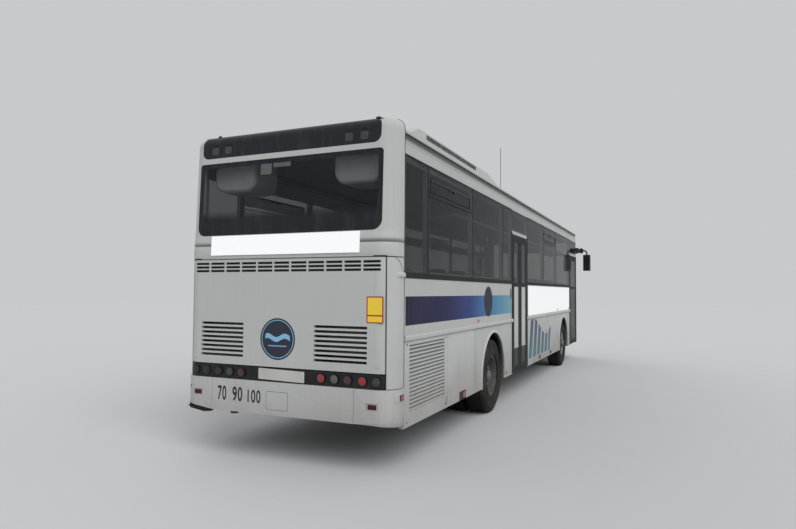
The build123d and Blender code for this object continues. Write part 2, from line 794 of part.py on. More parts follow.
def door_leaf(a, b, post, reach):
    """A leaf with its glass opening, sunk panels and the pinned lugs that the arms carry."""
    y0, y1 = -HALF, LEAF_T - HALF
    leaf = block(a, b, y0, y1, DOOR_Z, DOOR_TOP_Z)
    glass, *sunk = leaf_openings(a, b)
    x0, x1, z0, z1 = glass
    leaf -= block(x0, x1, y0, y1, z0, z1)
    leaf -= block(x0 - 15, x1 + 15, y0, y0 + GLASS_T, z0 - 15, z1 + 15)
    for x0, x1, z0, z1 in sunk:
        leaf -= block(x0, x1, y0, y0 + LEAF_RECESS, z0, z1)
    x, y = post_place(a, b, post)
    end = x - post * reach
    for z in ARM_ZS:
        top = z + ARM_H / 2 + FIT
        leaf += block(end - LUG, end + LUG, y1, y + ARM_W / 2, top, top + LUG)
        leaf += rod_z(end, y, PIN_R, z - ARM_H / 2, top + 5)
    return leaf


def door_glass(a, b):
    """The pane set in the outer face of a leaf."""
    x0, x1, z0, z1 = leaf_openings(a, b)[0]
    return block(x0 - 15, x1 + 15, -HALF, GLASS_T - HALF, z0 - 15, z1 + 15)


def flap(side, a, b):
    """A top-hinged side flap: a panel with the hinge tube along its top."""
    z = WAIST_Z - HINGE_GAP / 2
    y = side * (HALF - HINGE_IN)
    panel = block(a, b, side * (HALF - FLAP_T), side * HALF, SKIRT_Z, WAIST_Z - HINGE_GAP)
    neck = block(a, b, y - NECK / 2, y + NECK / 2, z - HINGE_GAP / 2 - 1, z)
    return panel + neck + rod_x(y, z, HINGE_R, a, b)


def louvre_flap(side, a, b):
    """The flap over the radiator, with sloping blades across its opening."""
    y0, y1 = side * (HALF - FLAP_T), side * HALF
    x0, x1 = a + LOUVRE_REAR, b - LOUVRE_FRONT
    z0, z1 = LOUVRE_Z
    panel = flap(side, a, b) - block(x0, x1, y0, y1, z0, z1)
    step = (z1 - z0) / LOUVRES
    back, face = y0 + side * 3, y1 - side * 2
    for i in range(LOUVRES):
        z = z0 + i * step + 3
        outline = [(back, z + 18), (face, z), (face, z + LOUVRE_T), (back, z + 18 + LOUVRE_T)]
        panel += along_x(outline, x0 - 5, x1 + 5)
    return panel


def engine_hatch():
    """The hatch across the rear, with two grilles and three rows of slots under its top."""
    x = REAR_FACE_X
    shell = REAR_BLOCK - rear_form(HATCH_T)
    hatch = shell & block(0, CAP_X, -HATCH_HALF, HATCH_HALF, HATCH_Z, HATCH_TOP_Z)
    for side, y0, y1 in GRILLES:
        for i in range(GRILLE_ROWS):
            z = GRILLE_Z + i * GRILLE_PITCH
            hatch -= block(0, x + HATCH_T + 5, side * y0, side * y1, z, z + GRILLE_SLOT)
    width = 2 * HATCH_HALF - 70
    for column in range(VENT_COLUMNS):
        y0 = column * width / VENT_COLUMNS - width / 2 + VENT_BAR / 2
        y1 = y0 + width / VENT_COLUMNS - VENT_BAR
        for z in (VENT_Z, VENT_Z + VENT_PITCH, VENT_Z + 2 * VENT_PITCH):
            hatch -= block(0, x + HATCH_T * 2, y0, y1, z, z + VENT_SLOT)
    axis_x, z = x + HINGE_IN, HATCH_TOP_Z + HINGE_GAP / 2
    run = HALF - REAR_R - 20
    neck = block(axis_x - 2, axis_x + NECK - 2, -run, run, HATCH_TOP_Z - 1, z)
    return hatch + neck + rod_y(axis_x, z, HINGE_R, -run, run)


def rear_opening(margin):
    """A prism of the rear window, drawn in by a margin: wide curves at its foot, tight ones at its head."""
    half = HALF - REAR_WINDOW_SIDE - margin
    z0, z1 = REAR_WINDOW_Z[0] + margin, REAR_WINDOW_Z[1] - margin
    foot_r, head_r = [r - margin / 2 for r in REAR_WINDOW_R]
    return window_x(half, z0, z1, foot_r, 0, CAP_X) + window_x(half, (z0 + z1) / 2, z1, head_r, 0, CAP_X)


def rear_glass():
    """The rear window and the dark band over it, bonded in rebates and bent round the corners."""
    layer = REAR_BLOCK - rear_form(REAR_GLASS_T)
    window = rear_opening(0)
    band = window_x(HALF - REAR_BAND_SIDE, *REAR_BAND_Z, REAR_BAND_R, 0, CAP_X)
    return [layer & window, layer & band]


def rear_cap():
    """The rear shell round the window and the hatch, down to the bumper."""
    shell = REAR_BLOCK - rear_form(REAR_T)
    shell &= block(0, CAP_X, -HALF, HALF, BUMPER_TOP_Z + GAP, END_TOP_Z)
    opening = HATCH_HALF + GAP
    shell -= block(0, CAP_X, -opening, opening, 0, HATCH_TOP_Z + HINGE_GAP)
    for pane in rear_glass():
        shell -= pane
    return shell - rear_opening(REAR_WINDOW_LAND)


def tail_lamps():
    """The dark strip that carries the rear lamps, wrapped round the corners under the hatch."""
    x = REAR_FACE_X
    strip = rear_form(4) - rear_form(LAMP_BACK)
    strip &= block(0, CAP_X, -HATCH_HALF, HATCH_HALF, *LAMP_Z)
    for side in (-1, 1):
        ends = rail_ends(side)
        strip += block(x + LAMP_BACK - 1, CAP_X, *ends, RAIL_ZS[1], LAMP_Z[1] - 20)
        for y in LAMP_YS:
            strip += rod_x(side * y, sum(LAMP_Z) / 2, LAMP_R, x - 6, x + 40)
    return strip


def rear_bumper():
    """The rear bumper, wrapped round both corners: three skins on one beam."""
    shell = rear_form(0, 0) - rear_form(BUMPER_T, 0)
    shell &= block(0, CAP_X, -HALF, HALF, BUMPER_Z, BUMPER_TOP_Z)
    for side in (-1, 1):
        split, end = side * BUMPER_SPLIT_Y, side * HALF
        lift = [(split, BUMPER_Z), (end, BUMPER_Z), (end, BUMPER_Z + BUMPER_LIFT)]
        shell -= along_x(lift, 0, CAP_X)
        shell -= block(0, BUMPER_T, split, split + side * 4, BUMPER_Z, BUMPER_TOP_Z)
        y0, y1 = side * (REFLECTOR_Y - 70), side * (REFLECTOR_Y + 60)
        shell -= block(0, 8, y0, y1, REFLECTOR_Z - 35, REFLECTOR_Z + 35)
        shell += block(BUMPER_T - 1, RAIL_START, *rail_ends(side), *RAIL_ZS)
    reach = HALF - REAR_R
    return shell + block(BUMPER_T - 1, BUMPER_T + 40, -reach, reach, *RAIL_ZS)


def marker_lamps():
    """Small lamps: high rear pairs, roof markers, bumper reflectors and front fog lamps."""
    lamps = []
    band = sum(REAR_BAND_Z) / 2
    skin = rear_form(-4) - REAR_BLOCK
    for y in (740, 910):
        for side in (-1, 1):
            lamps.append(skin & rod_x(side * y, band, 32, 0, CAP_X))
    for side in (-1, 1):
        y = side * REFLECTOR_Y
        z0, z1 = REFLECTOR_Z - 22, REFLECTOR_Z + 22
        lamps.append(block(3, 8, y - 45, y + 45, z0, z1))
        depth = FRONT_BLOCK - front_form(24)
        lamps.append(depth & rod_x(side * FOG_Y, FOG_Z, FOG_R, FRONT_CAP_X, LENGTH))
    return lamps


def screen_window(half, z0, z1, r):
    """A prism through the front end, as wide as a windscreen or its opening."""
    return window_x(half, z0, z1, r, FRONT_CAP_X - FRONT_ROOT, LENGTH + 30)


def windscreen():
    """The one-piece windscreen."""
    layer = FRONT_BLOCK - front_form(GLASS_T)
    return layer & screen_window(HALF - SCREEN_SIDE, *SCREEN_Z, SCREEN_R)


def nose_flap():
    """The raised service flap under the windscreen, drawn in towards its foot."""
    skin = front_form(-FLAP_RISE) - FRONT_BLOCK
    top, foot = SCREEN_Z[0] - 45, FRONT_BUMPER_TOP_Z + 60
    outline = [(-620, top), (620, top), (640, top - 60), (430, foot), (-430, foot), (-640, top - 60)]
    return skin & along_x(outline, FRONT_CAP_X, LENGTH + 30)


def front_cap():
    """The front shell above the bumper, with the nose flap and its slots."""
    z0, z1 = SCREEN_Z
    half = HALF - SCREEN_SIDE - SCREEN_LAND
    hole = screen_window(half, z0 + SCREEN_LAND, z1 - SCREEN_LAND, SCREEN_R - 30)
    bounds = block(FRONT_CAP_X, LENGTH, -HALF, HALF, FRONT_BUMPER_TOP_Z + GAP, END_TOP_Z)
    shell = (FRONT_SHELL & bounds) - windscreen() - hole
    shell += nose_flap()
    for z in NOSE_SLOTS:
        shell -= block(LENGTH - FRONT_T, LENGTH + 30, -400, 400, z, z + 16)
    return shell


def headlamp(side, spare):
    """One headlamp unit, or its pocket where spare room is asked for."""
    layer = FRONT_BLOCK - front_form(HEADLAMP_T + spare)
    (y0, y1), (z0, z1) = HEADLAMP_Y, HEADLAMP_Z
    ys = sorted((side * (y0 - spare), side * (y1 + spare)))
    unit = layer & block(FRONT_CAP_X, LENGTH, *ys, z0 - spare, z1 + spare)
    if spare:
        return unit
    pitch = (y1 - y0) / 3
    bowls = FRONT_BLOCK - front_form(HEADLAMP_T - 10)
    for i in range(3):
        y = side * (y0 + (i + 0.5) * pitch)
        unit -= bowls & rod_x(y, (z0 + z1) / 2, BOWL_R, FRONT_CAP_X, LENGTH)
    return unit


def front_bumper():
    """The front bumper with its lamp pockets, air slots and plate recess."""
    shell = FRONT_SHELL & block(
        FRONT_CAP_X, LENGTH, -HALF, HALF, FRONT_BUMPER_Z, FRONT_BUMPER_TOP_Z
    )
    for side in (-1, 1):
        shell -= headlamp(side, FIT)
        pocket = FRONT_BLOCK - front_form(30)
        shell -= pocket & rod_x(side * FOG_Y, FOG_Z, FOG_R + FIT, FRONT_CAP_X, LENGTH)
        shell += block(FRONT_FRAME_END, LENGTH - FRONT_T + 5, *rail_ends(side), *RAIL_ZS)
    width, high, deep = PLATE
    recess = FRONT_BLOCK - front_form(deep)
    shell -= recess & block(
        FRONT_CAP_X, LENGTH, -width / 2, width / 2, PLATE_Z - high / 2, PLATE_Z + high / 2
    )
    for z in (650, 690, 730):
        shell -= block(LENGTH - FRONT_T, LENGTH, -380, 380, z, z + 18)
    return shell


def headlamps():
    """Both headlamp units."""
    return [headlamp(-1, 0), headlamp(1, 0)]


def wipers():
    """Two wiper arms with blades, lying just off the glass and seated under it."""
    skin = front_form(-WIPER_OUT) - front_form(-WIPER_CLEAR)
    boss = front_form(-WIPER_OUT) - FRONT_BLOCK
    foot = SCREEN_Z[0] - 22
    arms = []
    for pivot_y in (-820, 160):
        tip = (pivot_y + WIPER_ARM, foot + 260)
        near, far = pivot_y + WIPER_BLADE[0], pivot_y + WIPER_BLADE[1]
        arm = along_x(
            [(pivot_y - 14, foot), (pivot_y, foot - 16), (tip[0], tip[1] - 10), (tip[0], tip[1] + 10)],
            FRONT_CAP_X,
            LENGTH + 30,
        )
        blade = along_x(
            [(near, foot + 120), (near, foot + 105), (far, foot + 235), (far, foot + 250)],
            FRONT_CAP_X,
            LENGTH + 30,
        )
        seat = boss & rod_x(pivot_y, foot, 20, FRONT_CAP_X, LENGTH + 30)
        arms.append((skin & arm) + (skin & blade) + seat)
    return arms


def roof_section(hollow):
    """The roof along the whole body, as a panel or as a solid block."""
    x, edge, foot, inner = CAP_X, HALF - 40, HALF - RAIL_LIP - 2, HALF - ROOF_SEAT
    z = GUTTER_Z
    outline = [
        Line((x, -foot, z), (x, -edge, ROOF_EDGE_Z)),
        ThreePointArc((x, -edge, ROOF_EDGE_Z), (x, 0, CROWN_Z), (x, edge, ROOF_EDGE_Z)),
        Line((x, edge, ROOF_EDGE_Z), (x, foot, z)),
    ]
    if hollow:
        outline += [
            Line((x, foot, z), (x, inner, z)),
            ThreePointArc((x, inner, z), (x, 0, CEILING_Z), (x, -inner, z)),
            Line((x, -inner, z), (x, -foot, z)),
        ]
    else:
        outline.append(Line((x, foot, z), (x, -foot, z)))
    return extrude(make_face(outline), amount=FRONT_CAP_X - CAP_X, dir=(1, 0, 0))


def air_conditioner():
    """The roof unit, sloped at both ends and over its sides, with sunk side grilles."""
    (x0, x1), z, half = POD_X, POD_Z, HALF - POD_SIDE
    body = along_y(
        [
            (x0, ROOF_EDGE_Z),
            (x0, CROWN_Z),
            (x0 + POD_REAR_SLOPE, z),
            (x1 - POD_FRONT_SLOPE, z),
            (x1, CROWN_Z),
            (x1, ROOF_EDGE_Z),
        ],
        -half,
        half,
    )
    shoulder, flat = z - POD_SHOULDER, half - 3 * POD_SHOULDER
    trim = along_x(
        [
            (-half, ROOF_EDGE_Z),
            (-half, shoulder),
            (-flat, z),
            (flat, z),
            (half, shoulder),
            (half, ROOF_EDGE_Z),
        ],
        x0,
        x1,
    )
    unit = (body & trim) - roof_section(False)
    start, end, foot, top = POD_GRILLE
    for side in (-1, 1):
        unit -= block(start, end, side * (half - POD_GRILLE_DEEP), side * half, foot, top)
    return unit


def aerial():
    """The whip aerial with its foot."""
    foot = rod_z(AERIAL_X, AERIAL_Y, 25, ROOF_EDGE_Z, CROWN_Z)
    whip = rod_z(AERIAL_X, AERIAL_Y, 4, CROWN_Z - 10, AERIAL_TOP_Z)
    return foot + whip - roof_section(False)


def mirror_unit(side):
    """One outside mirror, hung from an arm on the front shell's corner."""
    foot = (FRONT_CAP_X, side * (HALF - MIRROR_FOOT), MIRROR_ARM_Z)
    bend = (MIRROR_X, side * MIRROR_Y, MIRROR_ARM_Z)
    drop = (MIRROR_X, side * MIRROR_Y, MIRROR_Z[1] - 20)
    path = FilletPolyline(foot, bend, drop, radius=MIRROR_ARM_BEND)
    tube = sweep(Plane(foot, z_dir=path % 0) * RegularPolygon(MIRROR_ARM_R, 8), path)
    reach = MIRROR_X + MIRROR_ARM_R + 1
    tube &= block(FRONT_CAP_X, reach, *sorted((0, side * 2 * HALF)), 0, END_TOP_Z)
    y0, y1 = side * (MIRROR_Y - MIRROR_W / 2), side * (MIRROR_Y + MIRROR_W / 2)
    x0, x1 = MIRROR_X - MIRROR_T / 2, MIRROR_X + MIRROR_T / 2
    head = block(x0, x1, y0, y1, *MIRROR_Z)
    head = chamfer(head.edges().filter_by(Axis.Z), 22)
    head = chamfer(head.faces().sort_by(Axis.Z)[-1].edges(), 14)
    head -= block(x0, x0 + 4, y0 + side * 30, y1 - side * 30, MIRROR_Z[0] + 25, MIRROR_Z[1] - 40)
    return tube + head - FRONT_BLOCK


def seat_base(x, y0, y1, floor_z, top):
    """The cushion of one seat or bench, on its plinth."""
    outline = [
        (x + 70, top - 60),
        (x + 95, top - 125),
        (x + 500, top - 110),
        (x + SEAT_L, top - 60),
        (x + SEAT_L - 10, top - 5),
        (x + 215, top - 30),
    ]
    foot = block(x + 150, x + 430, y0 + 120, y1 - 120, floor_z, top - 100)
    return along_y(outline, y0, y1) + foot


def seat_back(x, y0, y1, floor_z, top):
    """The leaning back of one seat, with a head rest that is narrower than the back."""
    z = top + SEAT_BACK
    outline = [
        (x + 70, top - 60),
        (x + 215, top - 30),
        (x + 120, z - 130),
        (x + 95, z),
        (x + 20, z),
        (x, z - 60),
    ]
    back = along_y(outline, y0, y1)
    for y in (y0, y1):
        inner = y + (90 if y == y0 else -90)
        back -= block(x - 10, x + 200, y, inner, z - 110, z)
    return back


def seat_places(side):
    """The seats along one side of the aisle: rear, right and left edge, floor and cushion top."""
    y0, y1 = sorted((side * AISLE_HALF, side * (INNER - 15)))
    end = DRIVER_X if side > 0 else FRONT_DOOR[0] - 60
    places, x = [], SEAT_START
    while x + SEAT_L < end:
        on_box = any(abs(x + 310 - axle_x) < half + 140 for axle_x, half in WHEEL_BOXES)
        if side > 0 or not MID_DOOR[0] - SEAT_L - 30 < x < MID_DOOR[1] + 30:
            places.append((x, y0, y1, BOX_TOP_Z if on_box else FLOOR_Z, FLOOR_Z + SEAT_H))
        x += SEAT_PITCH
    return places


def all_places():
    """Every seat: the bench across the rear, both rows and the driver's."""
    half = INNER - 15
    bench = (CAP_X + 60, -half, half, REAR_FLOOR_Z, REAR_FLOOR_Z + SEAT_H)
    driver = (DRIVER_X, 480, 980, FLOOR_Z, FLOOR_Z + SEAT_H)
    return [bench, driver, *seat_places(-1), *seat_places(1)]


def dashboard():
    """The dashboard with the steering column and wheel."""
    x = FRONT_CAP_X
    board = along_y(
        [
            (x - 370, FLOOR_Z),
            (x - 370, FLOOR_Z + 350),
            (x - 450, SCREEN_Z[0] - 30),
            (x - 420, SCREEN_Z[0]),
            (x - 170, SCREEN_Z[0]),
            (x - 170, FLOOR_Z),
        ],
        -560,
        INNER - 60,
    )
    place = Pos(x - 500, 730, FLOOR_Z + 520) * Rot(0, -35, 0)
    column = place * (Pos(0, 0, -120) * Cylinder(30, 240))
    ring = revolve(place * (Pos(225, 0, 0) * Rot(90, 0, 0) * RegularPolygon(16, 6)), Axis.Z.located(place))
    wheel = place * Box(440, 30, 12) + place * Box(30, 440, 12)
    return board + column + wheel + ring


def luggage_racks():
    """The overhead racks, carried on the window pillars and broken over the doors."""
    z = RACK_Z
    outline = [
        (INNER, z + 30),
        (INNER - 375, z - 10),
        (INNER - 400, z + 70),
        (INNER - 425, z + 70),
        (INNER - 390, z - 40),
        (INNER, z),
    ]
    start, end = RAISED_FLOOR_X + 200, FRONT_DOOR[0] - 280
    runs = ((1, start, end), (-1, start, MID_DOOR[0] - 100), (-1, MID_DOOR[1] + 100, end))
    return [along_x([(side * y, z) for y, z in outline], x0, x1) for side, x0, x1 in runs]


def luggage_hold():
    """The floor and end walls of the hold under the saloon."""
    x0, x1 = HOLD_X
    hold = block(x0, x1, -INNER, INNER, HOLD_FLOOR_Z, HOLD_FLOOR_Z + SHEET)
    for x in (x0, x1 - SHEET):
        hold += block(x, x + SHEET, -INNER, INNER, HOLD_FLOOR_Z, FLOOR_Z - FLOOR_T)
    return hold


def route_display():
    """The route display, hung under the header of the windscreen."""
    x, z = FRONT_CAP_X, SCREEN_Z[1]
    hanger = block(x - 90, x + 60, -600, 600, z - 35, z - 5) - front_cap()
    return block(x - 150, x - 90, -700, 700, z - 310, z - 5) + hanger


save("chassis_frame", Compound([rear_frame(), front_frame()]))
save("floor_deck", Compound(floor_deck()))
save("rear_floor", rear_floor())
save("wheel_boxes", Compound(wheel_boxes()))
save("stairwells", Compound(stairwells()))
save("engine_block", Compound(engine_block()))
save("exhaust", exhaust())
save("rear_axle", rear_axle())
save("front_axle", front_axle())
save("side_wall_right", side_wall(-1))
save("side_wall_left", side_wall(1))
save("side_windows", Compound([*side_glass(-1), *side_glass(1)]))
save("roof_panel", roof_section(True))
save("air_conditioner", air_conditioner())
save("roof_aerial", aerial())
save("rear_cap", rear_cap())
save("rear_window", Compound(rear_glass()))
save("rear_bumper", rear_bumper())
save("tail_lamps", tail_lamps())
save("marker_lamps", Compound(marker_lamps()))
save("engine_hatch", engine_hatch())
save("front_cap", front_cap())
save("windscreen", windscreen())
save("front_bumper", front_bumper())
save("headlamps", Compound(headlamps()))
save("wipers", Compound(wipers()))
save("outside_mirrors", Compound(both(mirror_unit)))
save("seat_cushions", Compound([seat_base(*place) for place in all_places()]))
save("seat_backs", Compound([seat_back(*place) for place in all_places()]))
save("dashboard", dashboard())
save("luggage_racks", Compound(luggage_racks()))
save("luggage_hold", luggage_hold())
save("route_display", route_display())
for name, side, a, b in FLAPS:
    save(name, louvre_flap(side, a, b) if name == "radiator_door" else flap(side, a, b))
for name, a, b, post, reach in LEAVES:
    save(f"{name}_arm", door_arm(a, b, post, reach))
    save(f"{name}_leaf", door_leaf(a, b, post, reach))
    save(f"{name}_glass", door_glass(a, b))
for name, side in (("right", -1), ("left", 1)):
    save(f"front_knuckle_{name}", knuckle(side))
    save(f"front_rim_{name}", front_wheel(side))
    save(f"front_tyre_{name}", tyre(FRONT_AXLE_X, side * FRONT_WHEEL_Y))
    save(f"rear_rims_{name}", rear_wheel(side))
    save(f"rear_tyres_{name}", Compound(twin_tyres(side)))
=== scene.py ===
from functools import partialmethod
from math import cos, pi, radians, sin

import bmesh
import bpy
from mathutils import Matrix, Vector


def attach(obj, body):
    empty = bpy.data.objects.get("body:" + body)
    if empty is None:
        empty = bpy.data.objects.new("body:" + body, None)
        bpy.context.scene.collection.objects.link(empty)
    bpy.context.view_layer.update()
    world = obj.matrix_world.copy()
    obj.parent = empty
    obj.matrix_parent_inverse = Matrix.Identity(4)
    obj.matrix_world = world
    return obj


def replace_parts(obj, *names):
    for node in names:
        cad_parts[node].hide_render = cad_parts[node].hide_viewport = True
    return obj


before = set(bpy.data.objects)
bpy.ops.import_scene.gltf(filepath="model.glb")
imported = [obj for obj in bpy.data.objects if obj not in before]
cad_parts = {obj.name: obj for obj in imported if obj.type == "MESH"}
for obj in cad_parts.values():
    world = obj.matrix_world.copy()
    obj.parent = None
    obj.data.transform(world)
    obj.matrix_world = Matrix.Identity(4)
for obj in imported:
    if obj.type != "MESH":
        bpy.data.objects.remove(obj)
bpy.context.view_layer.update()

# Lengths along the bus are written from its rear face, as in the part's source
LENGTH, HALF, REAR_FACE = 12.0, 1.255, 0.016
MIDDLE = 6.06
HATCH_TOP, LEAN, CORNER_R, CAP_END = 2.048, 0.0382, 0.2, 0.25
REAR_AXLE, FRONT_AXLE, ARCH_Z = 3.48, 9.68, 0.54
FRONT_WHEEL_Y, REAR_WHEEL_Y, TWINS = 1.081, 0.9185, 0.345
TYRE_R, BEAD_R = 0.522, 0.286
GLASS_FOOT, GLASS_TOP = 1.905, 3.06
BELT_FOOT = 1.853
MID_DOOR, FRONT_DOOR = (4.625, 5.685), (10.68, 11.77)
SKIN = 0.0012
JOINT_Z = 1.2362
STRIPE_X, STRIPE_Z = (0.28, 4.55), (1.39, 1.674)
BARS_X, BARS_Z = (5.62, 7.72), (0.53, 1.235)
DISC_Y, DISC_Z = 0.037, 1.234
BACKWARD, UP = (-1, 0, 0), (0, 0, 1)
SIDES = (-1, 1)  # right and left, as signs of y


def at(x):
    """Row coordinate of a length measured from the rear face."""
    return x - MIDDLE


class Wire:
    """A shader socket. Sums, products and comparisons of wires add the nodes that they need."""

    def __init__(self, socket):
        self.socket = socket

    def node(self, kind, settings=None, inputs=None, out=0):
        """Adds a node, sets it up, fills its sockets with values or wires, and gives an output."""
        tree = self.socket.id_data
        node = tree.nodes.new("ShaderNode" + kind)
        for key, value in (settings or {}).items():
            if key == "stops":
                for _ in value[2:]:
                    node.color_ramp.elements.new(0.5)
                for element, (place, colour) in zip(node.color_ramp.elements, value):
                    element.position, element.color = place, (*colour, 1)
            else:
                setattr(node, key, value)
        for key, value in (inputs or {}).items():
            if isinstance(value, Wire):
                tree.links.new(value.socket, node.inputs[key])
            else:
                node.inputs[key].default_value = value
        return Wire(node.outputs[out])

    def math(self, operation, *others, clamp=False):
        settings = {"operation": operation, "use_clamp": clamp}
        return self.node("Math", settings, dict(enumerate((self, *others))))

    __add__ = __radd__ = partialmethod(math, "ADD")
    __sub__ = partialmethod(math, "SUBTRACT")
    __mul__ = __rmul__ = partialmethod(math, "MULTIPLY")
    __truediv__ = partialmethod(math, "DIVIDE")
    __pow__ = partialmethod(math, "POWER")
    __gt__ = partialmethod(math, "GREATER_THAN")
    __lt__ = partialmethod(math, "LESS_THAN")
    __or__ = partialmethod(math, "MAXIMUM")
    __abs__ = partialmethod(math, "ABSOLUTE")
    clamp = partialmethod(math, "ADD", 0.0, clamp=True)

    def __rsub__(self, other):
        return self.node("Math", {"operation": "SUBTRACT"}, {0: other, 1: self})

    def fade(self, low, high):
        """0 at low, 1 at high, smooth between."""
        settings = {"interpolation_type": "SMOOTHSTEP", "clamp": True}
        return self.node("MapRange", settings, {"Value": self, "From Min": low, "From Max": high})

    def within(self, low, high):
        return (self > low) * (self < high)

    def axes(self):
        parts = self.node("SeparateXYZ", None, {0: self}).socket.node.outputs
        return [Wire(socket) for socket in parts]

    def stretched(self, x, y, z):
        """This place with its axes scaled, so that a pattern runs along one of them."""
        return self.node("Mapping", {"vector_type": "POINT"}, {"Vector": self, "Scale": (x, y, z)})

    def noise(self, scale, detail=3.0, roughness=0.5):
        inputs = {"Vector": self, "Scale": scale, "Detail": detail, "Roughness": roughness}
        return self.node("TexNoise", None, inputs)

    def cells(self, scale):
        return self.node("TexVoronoi", None, {"Vector": self, "Scale": scale})

    def waves(self, scale, direction):
        settings = {"wave_type": "BANDS", "bands_direction": direction}
        return self.node("TexWave", settings, {"Vector": self, "Scale": scale, "Distortion": 0.0})

    def blend(self, low, high):
        """A colour or wire for 0 and one for 1, mixed by this mask."""
        ends = [end if isinstance(end, Wire) else (*end, 1) for end in (low, high)]
        return self.node("Mix", {"data_type": "RGBA"}, {0: self, 6: ends[0], 7: ends[1]}, out=2)

    def bump(self, strength, distance=0.001):
        return self.node("Bump", None, {"Height": self, "Strength": strength, "Distance": distance})


def finish(name, slot, vary, **fixed):
    """A material: fixed values on the shader's sockets, varying ones from a function of place. Its slot argument is
    not used.
    """
    material = bpy.data.materials.new(name)
    material.use_nodes = True
    tree = material.node_tree
    shader = tree.nodes["Principled BSDF"]
    for key, value in fixed.items():
        socket = shader.inputs[key.replace("_", " ").title().replace("Ior", "IOR")]
        socket.default_value = (*value, 1) if isinstance(value, tuple) else value
    place = Wire(tree.nodes.new("ShaderNodeTexCoord").outputs["Object"])
    for key, value in vary(place).items():
        tree.links.new(value.socket, shader.inputs[key])
    return material


def worn(name, slot, dark, pale, patches, rough, grain, bump, metal=None, **fixed):
    """A finish that goes from dark to pale in patches, with a fine grain.

    patches holds the scale, detail and roughness of a noise and the limits of its fade, if it has one; rough and
    metal hold a value and how much the patches add to it; a grain of one number is made of cells.
    """
    def vary(place):
        mask = place.noise(*patches[:3])
        mask = mask.fade(*patches[3:]) if patches[3:] else mask
        grains = place.noise(*grain) if len(grain) > 1 else place.cells(*grain)
        look = {
            "Base Color": mask.blend(dark, pale),
            "Roughness": rough[0] + mask * rough[1],
            "Normal": grains.bump(*bump),
        }
        return {**look, "Metallic": metal[0] + mask * metal[1]} if metal else look
    return finish(name, slot, vary, **fixed)


def plastic(name, slot, dark, pale, grain=700, **fixed):
    return worn(name, slot, dark, pale, (6, 6, 0.6, 0.35, 0.8), (0.42, 0.22), (grain,), (0.18, 0.0004), **fixed)


def iron(name, slot, dark, rusty):
    return worn(name, slot, dark, rusty, (5, 8, 0.65, 0.4, 0.7), (0.55, 0.35), (90, 6), (0.5, 0.001))


def lens(name, deep, bright, roughness=0.2, coat=0.2):
    """A lamp lens with fine ribs and prisms moulded in its back."""
    def vary(place):
        ribs = place.cells(210).fade(0.1, 0.6)
        return {"Base Color": ribs.blend(bright, deep), "Normal": ribs.bump(0.6, 0.001)}
    return finish(name, "lamp_clear", vary, roughness=roughness, coat_weight=coat)


def sign(name, slot, tone, soil, **fixed):
    """A plain matt film, a little soiled."""
    def vary(place):
        smear = place.noise(5, 6, 0.6).fade(0.4, 0.85) * soil
        return {"Base Color": smear.blend(tone, (0.25, 0.24, 0.22)), "Roughness": 0.42 + smear}
    return finish(name, slot, vary, **fixed)


def polished(name, slot, colour, roughness):
    """Bare metal with a roughness that varies."""
    return finish(name, slot, lambda place: {"Roughness": roughness(place)}, base_color=colour, metallic=1.0)


WHITE, CLEAN, DUSTY = (0.39, 0.395, 0.39), (0.43, 0.435, 0.43), (0.18, 0.17, 0.155)
NAVY, BLUE, TEAL = (0.009, 0.010, 0.030), (0.013, 0.034, 0.15), (0.02, 0.16, 0.20)
STRIPE_TONES = (
    (0, NAVY), (0.31, (0.009, 0.011, 0.066)), (0.49, BLUE), (0.62, (0.028, 0.11, 0.26)), (0.77, (0.05, 0.18, 0.31)),
    (1, (0.13, 0.28, 0.34)),
)
BACKDROP, FLOOR_SHARE = (0.58, 0.585, 0.595), 0.768


def coach_white(place, colour=None, coat=0.15):
    """White paint with orange peel, a dull film, rain streaks and road spray low down."""
    x, y, z = place.axes()
    cloud = place.noise(1.1, 6, 0.6)
    grain = place.noise(34, 4)
    streaks = place.stretched(26, 26, 0.7).noise(1, 3).fade(0.53, 0.75)
    spray = (1.25 - z + cloud * 0.9 - 0.45).fade(0.0, 1.1) * (grain * 0.5 + 0.65)
    film = cloud.fade(0.35, 0.75) * 0.08
    dirt = (spray * 0.55 + streaks * 0.10 + film).clamp()
    clean = colour(x, y, z) if colour else place.noise(0.7).blend(WHITE, CLEAN)
    return {
        "Base Color": dirt.blend(clean, DUSTY),
        "Roughness": 0.30 + dirt * 0.45 + grain * 0.06,
        "Coat Weight": coat - dirt * coat,
        "Normal": (place.noise(260, 2) + grain * 0.35).bump(0.10, 0.0006),
    }


def liveried(x, y, z):
    """The white sides: a stripe from navy to sky blue, slanted bars, and painted shade in the gutter groove and wheel
    arches.
    """
    along = (x + MIDDLE - STRIPE_X[0]) / (STRIPE_X[1] - STRIPE_X[0])
    stripe = z.within(*STRIPE_Z) * (x + MIDDLE).within(*STRIPE_X)
    white = stripe.blend(WHITE, along.node("ValToRGB", {"stops": STRIPE_TONES}, {0: along}))
    lean = x + MIDDLE - z * 0.30
    inside = lean.within(*BARS_X) * z.within(*BARS_Z)
    crest = z - 1.06 - (x * 2.6 + 1.0).math("SINE") * 0.17
    comb = ((lean - BARS_X[0]) / 0.37).math("FRACT")
    bars = comb.within(0.12, 0.80) * inside * (crest < 0.0)
    tint = (z - 0.53).fade(0.0, 0.62).blend(TEAL, (0.05, 0.06, 0.13))
    # Painted shade: a dark band deepening up into the groove under the gutter rail, and a thin dark line in the
    # cornice groove below it
    dark = z.fade(3.182, 3.238) * (z < 3.269) * 0.88 | z.within(3.168, 3.180) * 0.7
    # Painted shade: the inboard faces inside each wheel arch are painted near black
    for axle in (REAR_AXLE, FRONT_AXLE):
        arch = ((x + MIDDLE - axle) ** 2 + (z - ARCH_Z) ** 2) < 0.41
        dark = dark | arch * (abs(y) < 1.2435)
    return dark.blend(bars.blend(white, tint), (0.035, 0.035, 0.036))


